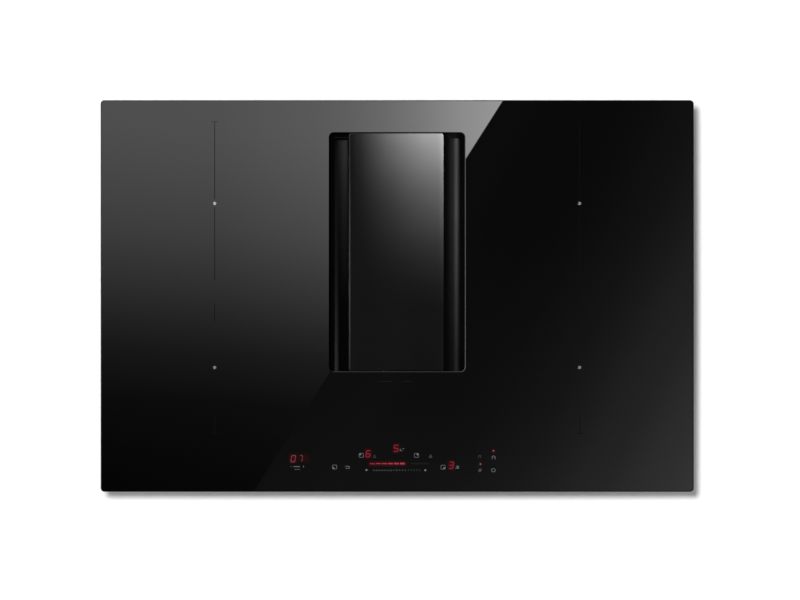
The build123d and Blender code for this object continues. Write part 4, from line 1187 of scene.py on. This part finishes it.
@dataclass
class Studio:
    """Floor, camera, lamps and the cards that the gloss reflects, in metres."""

    view_width: float = 1.05208
    centre: Pair = (0.00373, -0.00531)
    camera_height: float = 2.0
    card_height: float = 1.0
    card_corner: Pair = (-0.9, -0.8)
    card_size: Pair = (1.8, 1.6)
    border_lean: float = -0.637
    border: Pair = (-0.0255, -0.0242)
    wall_foot: float = 0.19
    floor_reach: float = 8.0
    floor_z: float = -0.0005
    floor_tone: float = 0.9
    fill: float = 0.36
    spot_place: Point = (0.0, 0.18, 2.2)
    spot_plane: float = 0.2
    spot_angle: float = 20.0
    staged: list[bpy.types.Object] = field(default_factory=list)

    def card(self, name: str, corner: Point, first: Point, second: Point, seen: Seen) -> bpy.types.Object:
        """Adds a flat studio card.

        Args:
            name: Its name.
            corner: One of its corners.
            first: The side that leaves this corner one way.
            second: The side that leaves it the other way.
            seen: Which rays meet it.

        Returns:
            The card.
        """
        sides = Matrix((first, second, Vector(first).cross(Vector(second)))).transposed().to_4x4()
        centre = Vector(corner) + (Vector(first) + Vector(second)) / 2
        mesh = bmesh.new()
        bmesh.ops.create_grid(
            mesh, x_segments=1, y_segments=1, size=0.5, matrix=Matrix.Translation(centre) @ sides
        )
        made = add_mesh(name, mesh)
        if seen is Seen.BY_GLOSS:
            made.visible_camera = False
            made.visible_diffuse = False
            made.visible_transmission = False
            made.visible_volume_scatter = False
            made.visible_shadow = False
        self.staged.append(made)
        return made

    def give_glow(self, card: bpy.types.Object) -> tuple[Glow, bpy.types.Node]:
        """Gives a card a material that only gives off light.

        Args:
            card: The card.

        Returns:
            Its glow, and the node that splits the place on the card into X, Y and Z.
        """
        # White cloth lit from behind: it only gives off light.
        material = bpy.data.materials.new(card.name + "_light")
        material.use_nodes = True
        tree = material.node_tree
        tree.nodes.clear()
        emission = add_node(tree, "ShaderNodeEmission")
        add_node(tree, "ShaderNodeOutputMaterial", None, {"Surface": emission.outputs[0]})
        card.data.materials.append(material)
        place = add_node(tree, "ShaderNodeTexCoord").outputs["Object"]
        return Glow(tree, emission), add_node(tree, "ShaderNodeSeparateXYZ", None, {0: place})

    def top_card(self) -> None:
        """The card straight above, with a bright soft-edged side and a sharp diagonal border."""
        sides = (0.0, self.card_size[1], 0.0), (self.card_size[0], 0.0, 0.0)
        card = self.card("top_card", (*self.card_corner, self.card_height), *sides, Seen.BY_GLOSS)
        glow, axes = self.give_glow(card)
        tree, x, y = glow.tree, axes.outputs["X"], axes.outputs["Y"]

        # The bright side fades to the front, along lines that lean a little, and to the left.
        lean = add_node(tree, "ShaderNodeMath", {1: 0.06}, {0: x, 2: y}, operation="MULTIPLY_ADD")
        depth = glow.fade(lean.outputs[0], [
            (-0.26, 0.0), (-0.1534, 0.028), (-0.091, 0.092), (-0.0546, 0.17), (-0.0234, 0.262), (0.0234, 0.42),
            (0.0702, 0.6), (0.1638, 0.88), (0.2054, 0.98), (0.2366, 1.0),
        ])
        width = glow.fade(x, [
            (-0.39, 1.9), (-0.231, 2.0), (-0.178, 2.2), (-0.1038, 2.5), (-0.0614, 2.85), (-0.0137, 3.55),
            (0.034, 4.72), (0.087, 6.5), (0.14, 7.7),
        ])
        bright = add_node(tree, "ShaderNodeMath", None, {0: depth, 1: width}, operation="MULTIPLY")

        # The dim side gets brighter towards the front right.
        slope = add_node(tree, "ShaderNodeMath", {1: -0.5}, {0: y, 2: x}, operation="MULTIPLY_ADD")
        dim = glow.fade(slope.outputs[0], [
            (0.0, 0.06), (0.0416, 0.06), (0.078, 0.047), (0.1404, 0.044), (0.1976, 0.06), (0.2392, 0.09),
            (0.2808, 0.125), (0.3224, 0.195), (0.3588, 0.285), (0.4004, 0.35), (0.442, 0.51), (0.4784, 0.61),
            (0.52, 0.78),
        ])

        # The border between both, and a faint haze at the front left on top of them.
        across = add_node(tree, "ShaderNodeMath", {1: self.border_lean}, {0: y, 2: x}, operation="MULTIPLY_ADD")
        low, high = self.border
        drop = {"From Min": low, "From Max": high, "To Min": 1.0, "To Max": 0.0}
        side = add_node(tree, "ShaderNodeMapRange", drop, {"Value": across.outputs[0]})
        mixed = add_node(
            tree, "ShaderNodeMix", None, {0: side.outputs[0], 2: dim, 3: bright.outputs[0]}, data_type="FLOAT"
        )
        along = glow.fade(y, [(-0.26, 0.085), (-0.206, 0.055), (-0.134, 0.032), (-0.08, 0.028), (0.1, 0.0)])
        sideways = glow.fade(x, [(-0.39, 0.1), (-0.195, 0.35), (-0.0975, 0.65), (0.0, 1.0)])
        level = add_node(
            tree, "ShaderNodeMath", None, {0: along, 1: sideways, 2: mixed.outputs[0]}, operation="MULTIPLY_ADD"
        )
        glow.shine(level.outputs[0])
        marks = [bpy.data.objects[name] for name in ("display_haze", "zone_dots")]
        self.link_only(card, [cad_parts["glass_top"], *marks])

    def side_cards(self) -> None:
        """Dark flags at the right, front and rear right, and cards at the rear and left that fade upwards."""
        low, high = self.wall_foot, self.card_height
        fade = [(0.24, 0.4), (0.5, 0.2), (high, 0.08)]
        for name, start, end, stops in (
            ("right_flag", (0.75, -0.8), (0.75, 0.8), [(low, 0.04), (high, 0.04)]),
            ("front_flag", (-0.9, -0.65), (0.75, -0.65), [(low, 0.05), (high, 0.05)]),
            ("rear_card", (-0.95, 0.65), (0.14, 0.65), [(low, 0.8), (0.235, 0.8), *fade]),
            ("rear_flag", (0.14, 0.65), (0.75, 0.65), [(low, 0.16), (0.235, 0.16), *fade]),
            ("left_card", (-0.95, -0.8), (-0.95, 0.65), fade),
        ):
            foot, run = stops[0][0], (end[0] - start[0], end[1] - start[1], 0.0)
            card = self.card(name, (*start, foot), run, (0.0, 0.0, high - foot), Seen.BY_GLOSS)
            glow, axes = self.give_glow(card)
            glow.shine(glow.fade(axes.outputs["Z"], stops))

    def floor(self) -> None:
        """White floor that keeps the object's shadow."""
        reach = self.floor_reach
        sides = (2 * reach, 0.0, 0.0), (0.0, 2 * reach, 0.0)
        made = self.card("floor", (-reach, -reach, self.floor_z), *sides, Seen.BY_ALL)
        # Matt white paper.
        material = bpy.data.materials.new("white_floor")
        material.use_nodes = True
        tree = material.node_tree
        tree.nodes.clear()
        matt = add_node(tree, "ShaderNodeBsdfDiffuse", {"Color": (*(self.floor_tone,) * 3, 1.0)})
        add_node(tree, "ShaderNodeOutputMaterial", None, {"Surface": matt.outputs[0]})
        made.data.materials.append(material)

    def world(self) -> None:
        """White surroundings for the eye and for gloss, and soft fill for matt surfaces."""
        world = bpy.data.worlds.new("studio")
        bpy.context.scene.world = world
        world.use_nodes = True
        tree = world.node_tree
        tree.nodes.clear()
        path = add_node(tree, "ShaderNodeLightPath").outputs
        looks = path["Is Camera Ray"]
        for kind in ("Is Glossy Ray", "Is Transmission Ray"):
            looks = add_node(tree, "ShaderNodeMath", None, {0: looks, 1: path[kind]}, operation="MAXIMUM").outputs[0]
        level = add_node(tree, "ShaderNodeMapRange", {"To Min": self.fill, "To Max": 1.0}, {"Value": looks})
        sky = add_node(tree, "ShaderNodeBackground", {"Color": (1.0, 1.0, 1.0, 1.0)}, {"Strength": level.outputs[0]})
        add_node(tree, "ShaderNodeOutputWorld", None, {"Surface": sky.outputs[0]})

    def lamp(
        self, name: str, kind: str, place: Point, aim: Point, energy: float, in_gloss: bool = False, **settings: Any
    ) -> bpy.types.Object:
        """Adds a lamp that points at a place.

        Args:
            name: Its name.
            kind: SUN, AREA or SPOT.
            place: Where it is.
            aim: What it points at.
            energy: Its strength.
            in_gloss: Whether gloss reflects it.
            **settings: Attributes of the lamp's data.

        Returns:
            The lamp.
        """
        data = bpy.data.lights.new(name, kind)
        data.energy = energy
        for key, value in settings.items():
            setattr(data, key, value)
        made = add_object(name, data)
        made.location = place
        made.rotation_euler = (Vector(aim) - Vector(place)).to_track_quat("-Z", "Y").to_euler()
        made.visible_glossy = in_gloss
        made.visible_camera = False
        return made

    def link_only(self, lamp: bpy.types.Object, receivers: Iterable[bpy.types.Object]) -> None:
        """Lets a lamp or a glowing card reach only some objects.

        Args:
            lamp: The lamp or card.
            receivers: What it lights.
        """
        lit = bpy.data.collections.new(lamp.name + "_reach")
        for one in receivers:
            lit.objects.link(one)
        lamp.light_linking.receiver_collection = lit

    def gobo(self, name: str, watts: float, node: str, across: Stops, along: Stops) -> None:
        """Adds a patterned spot from straight above that lights a single node.

        Args:
            name: Its name.
            watts: Its power.
            node: The node that it lights.
            across: Pairs of X and level, in order of X, in the plane of the opening.
            along: Pairs of Y and level, in order of Y.
        """
        place = self.spot_place
        lamp = self.lamp(
            name, "SPOT", place, (place[0], place[1], 0.0), watts, spot_size=math.radians(self.spot_angle),
            spot_blend=0.1, shadow_soft_size=0.0, use_shadow=False, use_nodes=True,
        )
        lamp.rotation_euler = (0.0, 0.0, 0.0)
        tree = lamp.data.node_tree
        glow = Glow(tree, tree.nodes["Emission"])
        ray = add_node(tree, "ShaderNodeTexCoord").outputs["Normal"]
        axes = add_node(tree, "ShaderNodeSeparateXYZ", None, {0: ray}).outputs
        depth = add_node(tree, "ShaderNodeMath", None, {0: axes["Z"]}, operation="ABSOLUTE").outputs[0]
        levels = {}
        for axis, stops in enumerate((across, along)):
            slope = add_node(tree, "ShaderNodeMath", None, {0: axes[axis], 1: depth}, operation="DIVIDE")
            slopes = [((spot - place[axis]) / (place[2] - self.spot_plane), level) for spot, level in stops]
            levels[axis] = glow.fade(slope.outputs[0], slopes)
        glow.shine(add_node(tree, "ShaderNodeMath", None, levels, operation="MULTIPLY").outputs[0])
        self.link_only(lamp, [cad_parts[node]])

    def opening_light(self) -> None:
        """What the room's light leaves on the flap and on the two walls of the basin."""
        self.gobo(
            "flap_pool", 16200.0, "flap_glass",
            [(-0.062, 0.0), (-0.049, 0.04), (-0.038, 0.104), (-0.027, 0.184), (-0.006, 0.37), (0.015, 0.6),
             (0.035, 0.83), (0.0526, 1.0), (0.0575, 1.32), (0.062, 1.42)],
            [(-0.11, 0.0095), (-0.01, 0.0095), (0.02, 0.02), (0.047, 0.042), (0.073, 0.077), (0.099, 0.14),
             (0.119, 0.2), (0.139, 0.285), (0.158, 0.41), (0.178, 0.59), (0.195, 0.75), (0.213, 1.0)],
        )
        self.gobo(
            "flap_edge_light", 1250.0, "flap_glass",
            [(-0.066, 0.0), (-0.0656, 1.0), (-0.0641, 1.0), (-0.0634, 0.12), (-0.0622, 0.0)],
            [(-0.1, 0.45), (-0.05, 0.7), (0.0, 1.0), (0.08, 0.95), (0.14, 0.5), (0.2, 0.25)],
        )
        self.gobo(
            "right_wall_light", 5700.0, "intake_basin",
            [(0.062, 0.0), (0.0652, 0.021), (0.0679, 0.1), (0.0706, 0.15), (0.0719, 0.23), (0.0732, 0.43),
             (0.0745, 0.74), (0.0758, 1.0), (0.0773, 0.63), (0.0787, 0.235), (0.08, 0.1), (0.082, 0.0)],
            [(-0.1, 0.29), (-0.066, 0.27), (0.006, 0.55), (0.07, 0.86), (0.125, 1.06), (0.206, 1.0), (0.207, 0.0)],
        )
        self.gobo(
            "left_wall_light", 4300.0, "intake_basin",
            [(-0.0815, 0.0), (-0.078, 0.1), (-0.0745, 0.4), (-0.0711, 0.7), (-0.0685, 0.95), (-0.066, 1.0),
             (-0.0647, 0.9), (-0.0634, 0.65), (-0.0621, 0.0)],
            [(-0.006, 0.0), (0.06, 0.062), (0.126, 0.163), (0.19, 0.4), (0.2035, 0.42), (0.2045, 0.0)],
        )
        self.gobo(
            "left_stripe_light", 6000.0, "intake_basin",
            [(-0.0815, 0.0), (-0.08, 0.7), (-0.0788, 0.95), (-0.0778, 1.0), (-0.0765, 0.65), (-0.075, 0.15),
             (-0.074, 0.0)],
            [(-0.1, 0.36), (-0.071, 0.3), (-0.006, 0.152), (0.06, 0.085), (0.126, 0.06), (0.19, 0.03), (0.2, 0.0)],
        )

    def lamps(self) -> None:
        """A near-vertical key, soft light from both sides, and what the opening needs."""
        pieces = [o for o in bpy.context.scene.objects if o.type == "MESH" and o not in self.staged]
        edges = [bpy.data.objects[name] for name in ("opening_ground_edge", "rear_ledge_lip")]
        pieces.remove(edges[0])
        middle, low = (0.0, 0.0, 0.0), (0.0, 0.0, 0.15)
        key = self.lamp("key", "SUN", (-0.105, 0.105, 3.0), middle, 2.0, angle=math.radians(2.4))
        ground = self.lamp("floor_key", "SUN", (-0.1, 0.115, 3.0), middle, 2.95, angle=math.radians(3.0))
        left = self.lamp("left_soft", "AREA", (-1.6, -0.5, 1.4), low, 18.0, in_gloss=True, size=1.2)
        right = self.lamp("right_soft", "AREA", (1.7, 0.9, 0.9), low, 12.0, size=1.2)
        for lamp in (key, left, right):
            self.link_only(lamp, pieces)
        self.link_only(ground, self.staged)
        rim = self.lamp("edge_light", "SUN", (-2.2, 0.5, 0.5), middle, 29.0, use_shadow=False)
        self.link_only(rim, edges)
        self.opening_light()

    def camera(self) -> None:
        """Looks straight down with no perspective, as the picture does."""
        data = bpy.data.cameras.new("camera")
        data.type = "ORTHO"
        data.ortho_scale = self.view_width
        made = add_object("camera", data)
        made.location = (*self.centre, self.camera_height)
        bpy.context.scene.camera = made

    def build(self) -> None:
        """Sets up the whole studio."""
        bpy.context.scene.view_settings.view_transform = "Standard"
        self.camera()
        self.floor()
        self.top_card()
        self.side_cards()
        self.world()
        self.lamps()


def main() -> None:
    """Builds the sub-assemblies in order, then the studio around them."""
    logging.basicConfig(level=logging.INFO, format="%(name)s: %(message)s")
    for part in (GlassTop(), TouchControls(), Intake(), Filters(), HobCasing(), Electronics(), Extractor()):
        LOG.info("building %s", type(part).__name__)
        part.dress()
        part.build()
    Studio().build()


if __name__ == "__main__":
    main()
